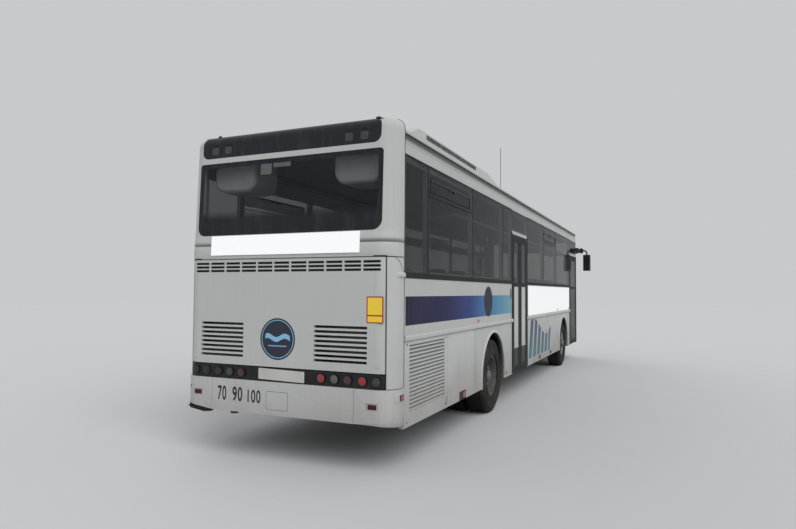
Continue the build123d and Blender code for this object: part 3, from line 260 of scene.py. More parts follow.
def rear_white(x, y, z):
    """The rear shell and hatch: black over the high band, painted shade in the crease and on the slots' rims, and dark
    seams.
    """
    across = abs(y)
    band = (across < HALF - 0.165) * (z > 3.380) * (x < at(0.165))
    # Painted shade: a soft dark line above the crease, where the surface turns in under its upper lip
    shade = z.fade(2.245, 2.198) * (z > 2.188) * (z < 2.25) * 0.75
    head = z.within(2.0445, 2.0565)
    edge = across.within(1.1535, 1.1625) * (z < 2.050)
    # Painted shade: the rims of the vent slots are painted dark; head and edge are the dark shut lines over and beside
    # the hatch
    column = ((y + 1.123) / 0.20418).math("FRACT").within(0.055, 0.945) * (across < 1.12)
    slot = (((z - 1.914) / 0.039).math("FRACT") < 0.667) * z.within(1.914, 2.018) * column
    dark = (head | edge | slot) * 0.90
    return band.blend((dark | shade).blend(WHITE, (0.05, 0.05, 0.052)), (0.012, 0.013, 0.017))


def glass_look(place):
    """Tinted glass with faint water marks and dust in its lower corners."""
    _, _, z = place.axes()
    marks = place.stretched(14, 14, 3).noise(1, 5, 0.6).fade(0.45, 0.8)
    dust = (2.05 - z).fade(0.0, 0.25) * place.noise(20, 4)
    return {
        "Base Color": (marks * 0.25 + dust * 0.5).clamp().blend((0.010, 0.014, 0.016), (0.07, 0.075, 0.075)),
        "Roughness": 0.04 + marks * 0.10 + dust * 0.2,
    }


def rear_glass_look(place):
    """The rear window: clear enough to see in, darker towards its foot, and black in the band over it."""
    _, _, z = place.axes()
    alpha = (0.34 + z.fade(2.58, 2.44) * 0.60 + z.fade(3.094, 3.098) * 0.66).clamp()
    return {**glass_look(place), "Alpha": alpha}


def cloth_look(place):
    """Woven blue cloth with a small two-tone figure."""
    threads = place.waves(190, "X") * 0.5 + place.waves(190, "Z") * 0.5
    figure = place.cells(16).fade(0.20, 0.24)
    fleck = place.cells(44).fade(0.16, 0.20)
    ground = (fleck * 0.8 + place.noise(60, 3) * 0.2).blend((0.10, 0.16, 0.34), (0.018, 0.030, 0.085))
    return {
        "Base Color": figure.blend((0.22, 0.05, 0.05), ground),
        "Roughness": 0.80 + threads * 0.15,
        "Normal": threads.bump(0.6, 0.0008),
    }


def floor_look(place):
    """Grey sheet flooring with pale and dark chips, worn in the aisle."""
    chips = place.cells(240).blend((0.05, 0.052, 0.055), (0.16, 0.165, 0.17))
    wear = place.noise(2, 5).fade(0.4, 0.8)
    return {"Base Color": (wear * 0.35).blend(chips, (0.20, 0.19, 0.175)), "Roughness": 0.6 + wear * 0.25}


def marker_look(place):
    """Red reflectors low at the rear, smoked lenses over the rear window, frosted ones at the front."""
    x, _, z = place.axes()
    rear = x < at(0.56)
    low = rear * (z < 1.0)
    ribs = place.cells(180).fade(0.1, 0.6)
    clear = ribs.blend((0.50, 0.51, 0.52), (0.26, 0.27, 0.28))
    smoked = rear.blend(clear, (0.007, 0.008, 0.011))
    red = ribs.blend((0.09, 0.009, 0.013), (0.04, 0.005, 0.007))
    return {"Base Color": low.blend(smoked, red), "Normal": ribs.bump(0.5, 0.001)}


def disc_art(place):
    """A navy disc with a pale wavy band and a thin ring: a plain motif with no words."""
    _, y, z = place.axes()
    radius = ((y - DISC_Y) ** 2 + (z - DISC_Z) ** 2).math("SQRT")
    wave = z - 1.25 + (y * 30).math("SINE") * 0.018
    band = wave.within(-0.028, 0.022) * (radius < 0.150)
    lower = z.within(1.158, 1.17) * (radius < 0.13)
    mark = radius.within(0.186, 0.193) | band * 0.9 | lower * 0.7
    colour = mark.blend((0.012, 0.016, 0.030), (0.20, 0.42, 0.62))
    return {"Base Color": colour, "Roughness": 0.35 + place.noise(20) * 0.15}


PAINT = finish("coach_white", "white_paint", coach_white, specular_ior_level=0.35)
REAR_PAINT = finish(
    "rear_shell_white", "white_paint", lambda place: coach_white(place, rear_white), specular_ior_level=0.35
)
LIVERY = finish(
    "coach_white_with_stripe", None, lambda place: coach_white(place, liveried, 0.03), specular_ior_level=0.04
)
GLASS = finish("tinted_glass", "dark_glass", glass_look, alpha=0.52, ior=1.40, specular_ior_level=0.12)
REAR_GLASS = finish("rear_glass", None, rear_glass_look, ior=1.40, specular_ior_level=0.35)
SCREEN = finish("screen_glass", None, glass_look, alpha=0.42, ior=1.45)
FRIT = finish("fired_black_border", "dark_glass", glass_look, ior=1.45)
RUBBER = worn(
    "black_rubber", "black_rubber", (0.010, 0.010, 0.011), (0.030, 0.029, 0.028),
    (9, 5, 0.5, 0.3, 0.8), (0.55, 0.25), (420, 3), (0.25, 0.0005), specular_ior_level=0.15,
)
TYRE = worn(
    "worn_tyre", "tyre_rubber", (0.011, 0.011, 0.012), (0.045, 0.042, 0.038),
    (3, 6, 0.6, 0.35, 0.75), (0.72, 0.2), (260, 4), (0.4, 0.0008), specular_ior_level=0.15,
)
# The silver is painted darker to stand for the shade inside the wheel arches: painted shade; the brown patches are
# soot
WHEEL = worn(
    "silver_wheel_paint", "rim_paint", (0.22, 0.22, 0.22), (0.06, 0.054, 0.047),
    (7, 7, 0.65, 0.35, 0.7), (0.38, 0.4), (150, 4), (0.25, 0.0006), metal=(0.65, -0.5),
)
LINING = worn(
    "grey_lining", "trim_grey", (0.30, 0.31, 0.32), (0.40, 0.41, 0.42),
    (4, 4), (0.75, 0.15), (800,), (0.25, 0.0005),
)
BLACK = plastic(
    "black_plastic", "black_plastic", (0.012, 0.012, 0.013), (0.040, 0.040, 0.041), specular_ior_level=0.25
)
GLOSS_BLACK = plastic(
    "gloss_black", "lamp_black", (0.006, 0.006, 0.007), (0.018, 0.018, 0.019), 300,
    coat_weight=0.15, specular_ior_level=0.25,
)
GREY_GRILLE = plastic(
    "grey_grille", "black_plastic", (0.15, 0.155, 0.155), (0.21, 0.215, 0.215), specular_ior_level=0.2
)
PALE_TRIM = plastic("pale_moulded_trim", "trim_grey", (0.62, 0.64, 0.63), (0.70, 0.72, 0.71), 500)
HANDRAIL = plastic("yellow_handrail", "trim_grey", (0.50, 0.30, 0.02), (0.62, 0.42, 0.05), 500)
CHASSIS = iron("chassis_black", "chassis_paint", (0.018, 0.017, 0.017), (0.070, 0.058, 0.046))
CASTING = iron("dark_casting", None, (0.035, 0.034, 0.033), (0.10, 0.066, 0.042))
CLOTH = finish("woven_seat_cloth", "seat_fabric", cloth_look, sheen_weight=0.25)
FLOORING = finish("floor_sheet", None, floor_look)
MARKERS = finish("marker_lenses", None, marker_look, roughness=0.3, coat_weight=0.05, specular_ior_level=0.2)
RED_LENS = lens("red_lens", (0.14, 0.006, 0.005), (0.46, 0.022, 0.018), 0.12, 0.6)
DARK_LENS = lens("smoked_lens", (0.006, 0.005, 0.006), (0.016, 0.010, 0.012))
GREY_LENS = lens("grey_lens", (0.055, 0.056, 0.060), (0.16, 0.162, 0.17), coat=0.3)
DIM_LENS = lens("dim_lens", (0.022, 0.022, 0.026), (0.055, 0.055, 0.062))
DEEP_LENS = lens("deep_red_lens", (0.022, 0.003, 0.004), (0.060, 0.007, 0.008), 0.14, 0.6)
CLEAR_LENS = lens("clear_lens", (0.16, 0.165, 0.17), (0.42, 0.43, 0.44), 0.1, 0.7)
AMBER_LENS = lens("amber_lens", (0.25, 0.07, 0.004), (0.62, 0.22, 0.015), 0.14, 0.6)
SIGN = sign("blank_sign", "white_paint", (0.95, 0.95, 0.95), 0.02, specular_ior_level=0.2)
PLATE = sign("blank_plate", "white_paint", (0.42, 0.42, 0.39), 0.35)
NOTICE = sign("blank_notice", "white_paint", (0.19, 0.215, 0.20), 0.2, specular_ior_level=0.1)
YELLOW = sign("yellow_label", "white_paint", (0.72, 0.50, 0.03), 0.25)
LABEL_RED = sign("label_border", "white_paint", (0.30, 0.02, 0.02), 0.25)
NAVY_VINYL = sign("navy_vinyl", "black_plastic", (0.010, 0.014, 0.028), 0.03, specular_ior_level=0.1)
DISC = finish("round_sticker", "black_plastic", disc_art)
CHROME = polished(
    "reflector_chrome", "lamp_clear", (0.75, 0.76, 0.77), lambda place: 0.06 + place.noise(30) * 0.08
)
MIRROR = polished("mirror_glass", "lamp_clear", (0.07, 0.075, 0.08), lambda place: 0.04 + place.noise(25) * 0.06)
STEEL = polished(
    "brushed_steel", "rim_paint", (0.55, 0.55, 0.56), lambda place: 0.28 + place.stretched(2, 2, 90).noise(4) * 0.2
)

# Finish of each CAD node that stays in view
NODE_FINISHES = {
    REAR_PAINT: "rear_cap engine_hatch",
    PAINT: "rear_bumper front_cap front_bumper roof_panel air_conditioner radiator_door "
    "service_door luggage_door_left mid_door_rear_leaf mid_door_front_leaf",
    LIVERY: "side_wall_right side_wall_left luggage_door_right",
    GLASS: "side_windows front_door_glass mid_door_rear_glass mid_door_front_glass",
    REAR_GLASS: "rear_window",
    SCREEN: "windscreen",
    GLOSS_BLACK: "tail_lamps headlamps front_door_leaf",
    MARKERS: "marker_lamps",
    BLACK: "wipers outside_mirrors dashboard roof_aerial route_display "
    "front_door_arm mid_door_rear_arm mid_door_front_arm",
    CHASSIS: "chassis_frame luggage_hold wheel_boxes",
    CASTING: "engine_block exhaust rear_axle front_axle front_knuckle_left front_knuckle_right",
    FLOORING: "floor_deck rear_floor stairwells",
    LINING: "luggage_racks",
    CLOTH: "seat_cushions seat_backs",
    WHEEL: "front_rim_left front_rim_right rear_rims_left rear_rims_right",
    TYRE: "front_tyre_left front_tyre_right rear_tyres_left rear_tyres_right",
}


def dress_nodes():
    for material, names in NODE_FINISHES.items():
        for name in names.split():
            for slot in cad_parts[name].material_slots:
                slot.material = material


def placed(name, data):
    """A new object of the scene."""
    made = bpy.data.objects.new(name, data)
    bpy.context.scene.collection.objects.link(made)
    return made


def riding(name, data, body, bevel=0.0):
    """A new piece of the bus, on its body, with softened edges if a bevel is given."""
    made = placed(name, data)
    if bevel:
        edge = made.modifiers.new("soft_edges", "BEVEL")
        edge.width, edge.segments, edge.limit_method = bevel, 2, "ANGLE"
    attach(made, body)
    return made


def drawn(holder):
    """The mesh that a text or a modifier draws, in place of the object that holds it."""
    bpy.context.view_layer.update()
    data = bpy.data.meshes.new_from_object(holder.evaluated_get(bpy.context.evaluated_depsgraph_get()))
    bpy.data.objects.remove(holder)
    return data


def rectangle(x0, x1, z0, z1):
    """The corners of a rectangle, as an outline."""
    return [(x0, z0), (x1, z0), (x1, z1), (x0, z1)]


def circle(count, radius=1.0, first=0.0):
    """Points evenly round a circle, as an outline; first says how many steps along they start."""
    return [(radius * cos(a), radius * sin(a)) for a in (2 * pi * (k + first) / count for k in range(count))]


class Piece:
    """A mesh put together from prisms, turned shapes and tubes, in metres in the frame of the CAD."""

    def __init__(self):
        self.mesh = bmesh.new()

    def ring(self, points):
        return [self.mesh.verts.new(point) for point in points]

    def bridge(self, low, high, closed=True):
        count = len(low)
        for i in range(count if closed else count - 1):
            j = (i + 1) % count
            self.mesh.faces.new((low[i], low[j], high[j], high[i]))

    def loft(self, *outlines):
        """A solid through outlines of as many points, closed at both ends."""
        rings = [self.ring(points) for points in outlines]
        for low, high in zip(rings, rings[1:]):
            self.bridge(low, high)
        self.mesh.faces.new(rings[0][::-1])
        self.mesh.faces.new(rings[-1])
        return self

    def box(self, x0, x1, y0, y1, z0, z1):
        corners = rectangle(x0, x1, y0, y1)
        return self.loft([(x, y, z0) for x, y in corners], [(x, y, z1) for x, y in corners])

    def rear_plate(self, x0, x1, outline):
        """A plate of a y-z outline, between two lengths."""
        return self.loft([(x0, y, z) for y, z in outline], [(x1, y, z) for y, z in outline])

    def leaning_plate(self, outline, near, far):
        """A plate of a y-z outline that leans with the rear face, between two depths in it."""
        return self.loft(*[[(at(rear_face(z) + deep), y, z) for y, z in outline] for deep in (near, far)])

    def side_plate(self, y0, y1, outline):
        """A plate of an x-z outline, between two offsets from the middle plane."""
        return self.loft([(x, y0, z) for x, z in outline], [(x, y1, z) for x, z in outline])

    def strip(self, side, x0, x1, z0, z1, proud, back=0.004):
        """A flat strip on one side of the body."""
        return self.box(at(x0), at(x1), side * (HALF - back), side * (HALF + proud), z0, z1)

    def panel(self, side, outline, back, proud, rim=None, rim_proud=0.0):
        """A plate on one side of the body, with a raised rim if a width is given."""
        self.side_plate(side * (HALF - back), side * (HALF + proud), outline)
        return self.border(outline, rim, side * (HALF - back), side * (HALF + rim_proud), "y") if rim else self

    def border(self, outline, width, near, far, flat="x"):
        """A closed strip of a given width just inside an outline, standing between two offsets."""
        cx, cz = (sum(p[k] for p in outline) / len(outline) for k in (0, 1))
        kx, kz = (1 - width / (max(p[k] for p in outline) - c) for k, c in ((0, cx), (1, cz)))
        inner = [(cx + (a - cx) * kx, cz + (b - cz) * kz) for a, b in outline]
        rings = []
        for points, offset in ((outline, near), (outline, far), (inner, far), (inner, near)):
            rings.append(self.ring([(offset, a, b) if flat == "x" else (a, offset, b) for a, b in points]))
        for i in range(4):
            self.bridge(rings[i], rings[(i + 1) % 4])
        return self

    def turned(self, profile, centre, axis, steps=48):
        """A profile of radius and offset, turned about an axis; a closed loop when it ends where it starts."""
        centre, axis = Vector(centre), Vector(axis).normalized()
        across = axis.orthogonal().normalized()
        rings = []
        for i in range(steps):
            out = Matrix.Rotation(2 * pi * i / steps, 3, axis) @ across
            rings.append(self.ring([centre + out * r + axis * w for r, w in profile]))
        for i in range(steps):
            self.bridge(rings[i], rings[(i + 1) % steps], closed=False)
        return self

    def disc(self, centre, axis, radius, thick, dome=0.0, steps=40):
        """A closed round plate, flat or domed on its outer side."""
        edge = [(radius * (1 - k / 5), thick + dome * sin(pi / 2 * k / 5)) for k in range(5)]
        return self.turned([(0.0001, 0), (radius, 0), *edge, (0.0001, thick + dome)], centre, axis, steps)

    def tube(self, points, radius, sides=12):
        """A round bar through points, with closed ends."""
        points = [Vector(point) for point in points]
        loops, side = [], None
        for i, point in enumerate(points):
            ahead = (points[min(i + 1, len(points) - 1)] - points[max(i - 1, 0)]).normalized()
            side = ahead.orthogonal() if side is None else side - ahead * side.dot(ahead)
            side.normalize()
            up = ahead.cross(side)
            loops.append([point + (side * u + up * v) * radius for u, v in circle(sides)])
        return self.loft(*loops)

    def done(self, name, material, body="coach_body", bevel=0.0, crease=35):
        """Makes the object: merged, faces outwards, sharp edges kept, on its body and with its finish's slot."""
        bmesh.ops.remove_doubles(self.mesh, verts=self.mesh.verts, dist=0.00002)
        bmesh.ops.recalc_face_normals(self.mesh, faces=self.mesh.faces)
        for face in self.mesh.faces:
            face.smooth = True
        for edge in self.mesh.edges:
            edge.smooth = edge.calc_face_angle(0) < radians(crease)
        data = bpy.data.meshes.new(name)
        self.mesh.to_mesh(data)
        self.mesh.free()
        data.materials.append(material)
        return riding(name, data, body, bevel)


def rounded(x0, x1, z0, z1, r, steps=6, foot_r=None):
    """A rectangle with round corners, as an outline; the lower two may have a radius of their own."""
    low = foot_r or r
    corners = (
        (x1 - r, z1 - r, 0, r), (x0 + r, z1 - r, 90, r), (x0 + low, z0 + low, 180, low), (x1 - low, z0 + low, 270, low)
    )
    outline = []
    for cx, cz, start, r in corners:
        for i in range(steps + 1):
            a = radians(start + 90 * i / steps)
            outline.append((cx + r * cos(a), cz + r * sin(a)))
    return outline


def rear_face(z):
    """Length of the rear face at a height: upright, then leaning forward above the hatch."""
    return REAR_FACE + max(0.0, z - HATCH_TOP) * LEAN


def shell_spot(side, turn, z, proud=0.0, face=None):
    """A place on a rear corner of the shell, 0 degrees where the flat back ends and 90 where the side starts.

    Below 0 and above 90 the turn runs on in centimetres, along the back and along the side.
    """
    reach, angle = CORNER_R + proud, radians(min(max(turn, 0), 90))
    back = rear_face(z) if face is None else face
    x = back + CORNER_R - reach * cos(angle) + max(turn - 90, 0) / 100
    return at(x), side * (HALF - CORNER_R + reach * sin(angle) + min(turn, 0) / 100), z


def shell_band(piece, side, stations, section, face=None):
    """A moulding round a rear corner: a section of height and proudness that swells and fades along it."""
    loops = []
    for turn, swell in stations:
        front = [shell_spot(side, turn, z, (proud + 0.001) * swell - 0.001, face) for z, proud in section]
        loops.append(front + [shell_spot(side, turn, z, -0.007, face) for z, _ in section[::-1]])
    return piece.loft(*loops)


def half_round(z, high, deep, power=1.0):
    """The section of a moulding about a height, from its top to its foot."""
    angles = [radians(a) for a in range(90, -91, -15)]
    return [(z + high * sin(a), deep * cos(a) ** power - 0.001) for a in angles]


def rear_lamp_lenses():
    """Five round lenses on each side of the rear strip: offset, lens on the right, lens on the left."""
    strip_z, face = 0.874, REAR_FACE - 0.004
    row = (
        (0.481, RED_LENS, DEEP_LENS),
        (0.629, GREY_LENS, DIM_LENS),
        (0.775, DEEP_LENS, DARK_LENS),
        (0.934, RED_LENS, DARK_LENS),
        (1.081, DIM_LENS, DARK_LENS),
    )
    spots = [(side * offset, tone) for offset, *tones in row for side, tone in zip((-1, 1), tones)]
    for material in (RED_LENS, GREY_LENS, DIM_LENS, DEEP_LENS, DARK_LENS):
        lenses = Piece()
        for y, tone in spots:
            if tone is material:
                lenses.disc((at(face - 0.002), y, strip_z), BACKWARD, 0.040, 0.004, 0.006)
        lenses.done("rear_lens_" + material.name, material)
    rims = Piece()
    ring = [(0.039, 0.0), (0.047, 0.0), (0.046, 0.007), (0.040, 0.006), (0.039, 0.0)]
    for y, _ in spots:
        rims.turned(ring, (at(face), y, strip_z), BACKWARD, 40)
    rims.done("rear_lens_rims", GLOSS_BLACK)


def rear_plate_and_sign():
    """The blank number plate on the lamp strip and the blank advertising panel under the rear window."""
    outline = [(-0.286, 0.812), (0.262, 0.822), (0.262, 0.932), (-0.286, 0.922)]
    Piece().rear_plate(at(0.010), at(0.021), outline).done("rear_plate", PLATE, bevel=0.002)
    foot = [(at(x), y, 2.092) for x, y in ((0.006, -0.89), (0.006, 0.905), (0.022, 0.905), (0.022, -0.89))]
    Piece().loft(foot, [(x + 0.006, y, 2.298) for x, y, _ in foot]).done("rear_sign", SIGN)


def hatch_labels():
    """The round sticker and the blank yellow label on the engine hatch, with its locks."""
    face = at(REAR_FACE)
    sticker = Piece().disc((face, DISC_Y, DISC_Z), BACKWARD, 0.21, SKIN, steps=64)
    sticker.done("round_sticker", DISC, "engine_hatch")
    label = Piece().rear_plate(face - SKIN, face + 0.001, rounded(-1.146, -0.970, 1.421, 1.674, 0.012))
    label.done("label_border", LABEL_RED, "engine_hatch")
    label = Piece()
    for z0, z1 in ((1.432, 1.486), (1.500, 1.662)):
        label.rear_plate(face - 2 * SKIN, face, rounded(-1.134, -0.982, z0, z1, 0.008))
    label.done("label_field", YELLOW, "engine_hatch")
    locks = Piece()
    for y in (-1.09, 1.09):
        locks.disc((face, y, 1.02), BACKWARD, 0.016, 0.002, 0.002)
    locks.done("hatch_locks", PAINT, "engine_hatch")


def bumper_marks():
    """The plain speed numbers, the outline of the towing-eye cover and the dark hole on the left."""
    foot = 0.575
    rows = (("70", 0.771, 0.658, 0.725), ("90", 0.579, 0.451, 0.725), ("100", 0.385, 0.222, 0.708))
    for text, left, right, top in rows:
        curve = bpy.data.curves.new("speed_" + text, "FONT")
        curve.body, curve.size, curve.extrude, curve.offset = text, 1.0, 0.0006, 0.022
        curve.space_character = 1.12
        data = drawn(placed("speed_" + text, curve))
        across, up = ([vertex.co[k] for vertex in data.vertices] for k in (0, 1))
        wide = (left - right) / (max(across) - min(across))
        high = (top - foot) / (max(up) - min(up))
        data.transform(Matrix((
            (0, 0, -1, at(0.0003)),
            (-wide, 0, 0, left + wide * min(across)),
            (0, high, 0, foot - high * min(up)),
            (0, 0, 0, 1),
        )))
        data.materials.clear()
        data.materials.append(BLACK)
        riding("speed_number_" + text, data, "coach_body")
    cover = Piece().border(rounded(-0.107, 0.156, 0.522, 0.707, 0.02), 0.003, at(-0.0003), at(0.001))
    cover.done("towing_cover_joint", RUBBER)
    turn = radians(30)
    hole = Piece().disc(shell_spot(1, 30, 0.697, -0.001, 0.0), (-cos(turn), sin(turn), 0), 0.013, 0.0018, steps=24)
    hole.done("bumper_hole", RUBBER)


def rear_corner_forms():
    """The moulded crease beside the sign, the rounded ends of the belts and the pads of the corner lamps."""
    forms = Piece()
    crease = (
        (2.300, -0.001), (2.282, 0.002), (2.246, 0.0055), (2.218, 0.007), (2.206, 0.006), (2.199, 0.002),
        (2.193, 0.001), (2.187, 0.003), (2.176, 0.0065), (2.160, 0.008), (2.120, 0.0065), (2.085, 0.0045),
        (2.068, 0.002), (2.062, -0.001),
    )
    full = [(turn, 1) for turn in (-22, -12, -4, 0, 8, 16, 24, 32)]
    along = full + [(40, 0.97), (48, 0.9), (56, 0.75), (64, 0.5), (72, 0.25), (80, 0.05)]
    belt_swell = [(60, 0), (64, 0.35), (68, 0.6), (74, 0.8), (80, 0.92), (86, 1), (90, 1), (93.6, 1)]
    pad_swell = [(52, 0), (60, 0.4), (68, 0.8), (76, 1), (84, 1), (90, 1), (94, 1)]
    for side in SIDES:
        shell_band(forms, side, along, crease)
        shell_band(forms, side, belt_swell, half_round(1.879, 0.027, 0.017))
        shell_band(forms, side, pad_swell, half_round(0.717, 0.045, 0.007, 0.5), 0.0)
    forms.done("rear_corner_forms", REAR_PAINT, crease=60)


def rear_seams():
    """Dark shut lines from the hatch to the belt, and the joints of the rear shell with the sides and roof."""
    seams, r = Piece(), 0.11
    course = (
        (31.7, 2.054), (42, 2.054), (50, 2.053), (58, 2.046), (65, 2.030), (72, 2.008), (80, 1.978), (90, 1.930),
        (93.2, 1.908),
    )
    turns = [radians(a) for a in range(0, 91, 10)]
    upper = [(HALF, 1.905), *((HALF - r + r * cos(a), 3.30 + r * sin(a)) for a in turns)]
    for side in SIDES:
        seams.tube([shell_spot(side, turn, z) for turn, z in course], 0.0026, 8)
        for points in (((HALF, 0.81), (HALF, 1.855)), upper):
            seams.tube([(at(CAP_END), side * y, z) for y, z in points], 0.0035, 8)
    seams.done("rear_shut_lines", RUBBER)
    outline = [
        (1.195, 0.520), (1.190, 0.490), (1.150, 0.456), (0.972, 0.432), (0.885, 0.440), (0.860, 0.470), (0.870, 0.500)
    ]
    flap = Piece().rear_plate(at(0.052), at(0.064), outline).rear_plate(at(0.016), at(0.052), outline[1:-1])
    flap.done("bumper_corner_rubber", RUBBER, bevel=0.003)


def bumper_foot():
    """The foot of the bumper's right corner, which hangs lower than the left one."""
    loops, skin, back, last = [], -0.0003, -0.004, 94.4
    for turn in (-20.4, -14, -7, 0, 12, 24, 36, 48, 60, 72, 82, 90, last):
        out = abs(shell_spot(-1, turn, 0, 0, 0.0)[1])
        edge = 0.47 + 0.05 * (out - 0.845) / 0.41
        low = 0.470 - 0.026 * max(turn, 0) / last
        section = (
            (low, back), (low + 0.004, skin), (edge + 0.0005, skin), (edge + 0.0015, back), (edge + 0.022, back),
            (edge + 0.022, -0.012), (low, -0.012),
        )
        loops.append([shell_spot(-1, turn, z, proud, 0.0) for z, proud in section])
    Piece().loft(*loops).done("bumper_corner_foot", PAINT, crease=60)


def high_lamps():
    """Smoked square lenses in the black band over the rear window, and two dome lamps on the edge of the roof."""
    lenses = Piece()
    for y in (-0.91, -0.74, 0.74, 0.91):
        lenses.leaning_plate(rounded(y - 0.043, y + 0.043, 3.188, 3.272, 0.018, 4), 0.002, -0.0056)
    lenses.done("high_lamp_lenses", DIM_LENS, bevel=0.0015)
    domes = Piece()
    for y, r in ((-1.02, 0.030), (0.93, 0.022)):
        domes.disc((at(0.150), y, 3.400), UP, r, 0.014, 0.012)
    domes.done("roof_dome_lamps", GLOSS_BLACK, crease=50)


def window_rubber():
    """The rubber belts under and over the side glass and the joints between panes."""
    runs_right = ((CAP_END, MID_DOOR[0] - 0.04), (MID_DOOR[1] + 0.04, FRONT_DOOR[0] - 0.04))
    sides = (
        (-1, runs_right, (0.885, 2.45, 4.01, 7.22, 8.70)),
        (1, ((CAP_END, LENGTH - 0.22),), (0.885, 2.45, 4.01, 5.57, 7.13, 8.69, 10.25)),
    )
    rubber, joints = Piece(), Piece()
    for side, runs, places in sides:
        for x0, x1 in runs:
            rubber.strip(side, x0, x1, BELT_FOOT, GLASS_FOOT - 0.012, 0.006)
            rubber.strip(side, x0, x1, GLASS_FOOT - 0.010, GLASS_FOOT + 0.002, 0.0075)
            rubber.strip(side, x0, x1, GLASS_TOP - 0.004, GLASS_TOP + 0.006, 0.003)
        for x in places:
            joints.strip(side, x - 0.007, x + 0.007, GLASS_FOOT, GLASS_TOP, 0.001, 0.009)
    rubber.done("window_rubber", RUBBER, bevel=0.0015)
    joints.done("pane_joints", RUBBER)


def hopper_vents():
    """Opening vents in the upper part of two panes on each side: black rims, sliding panes and catches."""
    rims, panes, sills = Piece(), Piece(), Piece()
    places = ((-1, 0.935, 2.34, 2.445), (-1, 7.27, 8.60, 8.695), (1, 0.935, 2.34, 2.445), (1, 7.20, 8.56, 8.685))
    for side, x0, x1, end in places:
        panes.panel(side, rounded(at(x0), at(x1 - 0.004), 2.792, 2.925, 0.012), 0.004, 0.003)
        rims.strip(side, x0, x1, 2.906, 2.927, 0.009)
        front = [(at(x1 - 0.045), 2.915), (at(x1), 2.926), (at(x1), 2.80), (at(x1 - 0.022), 2.795)]
        rims.panel(side, front, 0.004, 0.009)
        for x in ((x0 + x1) / 2 - 0.06, (x0 + x1) / 2 + 0.07):
            rims.strip(side, x - 0.025, x + 0.025, 2.884, 2.907, 0.013)
        for z in (2.740, 2.786):
            sills.strip(side, x0 - 0.04, end, z - 0.004, z + 0.004, 0.0045)
    rims.done("hopper_rims", BLACK, bevel=0.0015)
    panes.done("hopper_panes", GLASS)
    sills.done("hopper_sills", RUBBER)


def side_marks():
    """The blank white panel amidships, the dark disc, the oval mark and the side lamps."""
    Piece().strip(-1, 5.80, 10.58, 1.302, 1.840, 0.0014).done("side_sign", SIGN)
    marks = Piece().disc((at(3.2), -HALF, 1.59), (0, -1, 0), 0.21, SKIN, steps=56)
    oval = [(at(4.5) + 0.034 * a, 1.70 + 0.085 * b) for a, b in circle(30)]
    marks.panel(-1, oval, 0.001, SKIN).done("side_disc", NAVY_VINYL)
    amber, red, holders = Piece(), Piece(), Piece()
    for side in SIDES:
        for x in (0.98, 2.72, 4.40, 6.10, 8.85, 10.5):
            if side > 0 or x not in (0.98, 4.40, 6.10):
                amber.strip(side, x - 0.04, x + 0.04, 1.322, 1.356, 0.008)
        red.strip(side, 4.17, 4.25, 0.462, 0.500, 0.008)
        red.strip(side, 0.168, 0.232, 0.698, 0.736, 0.010)
        holders.strip(side, 0.160, 0.240, 0.690, 0.744, 0.0075)
    amber.done("side_lamps_amber", AMBER_LENS, bevel=0.004)
    red.done("side_lamps_red", RED_LENS, bevel=0.002)
    holders.done("corner_lamp_holders", BLACK, bevel=0.001)


def flap_furniture():
    """Recessed handles on the luggage doors, the lamp recess of the service flap, the radiator door's locks."""
    z = 0.472
    for body, side, places in (("luggage_door_right", -1, (6.82, 7.99)), ("luggage_door_left", 1, (6.60, 8.20))):
        handles = Piece()
        for x in places:
            outline = rounded(at(x - 0.065), at(x + 0.065), z - 0.035, z + 0.035, 0.012)
            handles.panel(side, outline, 0.003, 0.0012, 0.008, 0.004)
            handles.strip(side, x - 0.042, x + 0.042, z - 0.008, z + 0.014, 0.004)
        handles.done(body + "_handles", BLACK, body, bevel=0.001)
    recess = Piece().panel(-1, rounded(at(1.93), at(2.17), 0.412, 0.515, 0.012), 0.003, 0.001, 0.010, 0.005)
    recess.done("service_lamp_recess", BLACK, "service_door", bevel=0.001)
    lamp = Piece().strip(-1, 2.06, 2.15, 0.428, 0.500, 0.0065)
    lamp.done("service_lamp", RED_LENS, "service_door", bevel=0.003)
    locks = Piece()
    for x, z in ((0.33, 0.455), (1.44, 0.455), (0.33, 1.205), (1.44, 1.205)):
        locks.disc((at(x), -HALF, z), (0, -1, 0), 0.010, 0.0015, 0.001, 16)
    locks.strip(-1, 1.452, 1.464, 0.445, 0.530, 0.0012).done("radiator_door_locks", BLACK, "radiator_door")


def door_trim():
    """Rubber edges, window gaskets, kick plates and handles on the door leaves."""
    centre = sum(MID_DOOR) / 2
    rows = (
        ("front_door", *FRONT_DOOR, 1),
        ("mid_door_rear", MID_DOOR[0], centre - 0.006, 1),
        ("mid_door_front", centre + 0.006, MID_DOOR[1], -1),
    )
    for body, x0, x1, handle_side in rows:
        outline = rounded(at(x0 + 0.001), at(x1 - 0.001), 0.420, 2.648, 0.01, 2)
        seal = Piece().border(outline, 0.102, -(HALF - 0.004), -(HALF + 0.004), "y")
        seal.strip(-1, x0 + 0.09, x1 - 0.09, 1.815, 1.875, 0.0045)
        seal.done(body + "_seals", RUBBER, body, bevel=0.0015)
        outline = rounded(at(x0 + 0.055), at(x1 - 0.055), 0.436, 0.806, 0.01, 2)
        Piece().panel(-1, outline, 0.006, -0.002).done(body + "_kick_plate", BLACK, body)
        x = at(x0 + 0.14 if handle_side < 0 else x1 - 0.14)
        y = -(HALF - 0.045)
        inside = Piece().tube([(x, y, 1.05), (x, y + 0.05, 1.09), (x, y + 0.05, 1.72), (x, y, 1.76)], 0.015)
        inside.done(body + "_inside_handle", HANDRAIL, body)
    frames = Piece()
    for x0, x1 in (MID_DOOR, FRONT_DOOR):
        for a, b in ((x0 - 0.060, x0 - 0.008), (x1 + 0.008, x1 + 0.060)):
            frames.strip(-1, a, b, 0.42, 2.70, 0.003)
        frames.strip(-1, x0 - 0.060, x1 + 0.060, 2.655, 2.668, 0.003)
    frames.done("doorway_seals", RUBBER, bevel=0.001)


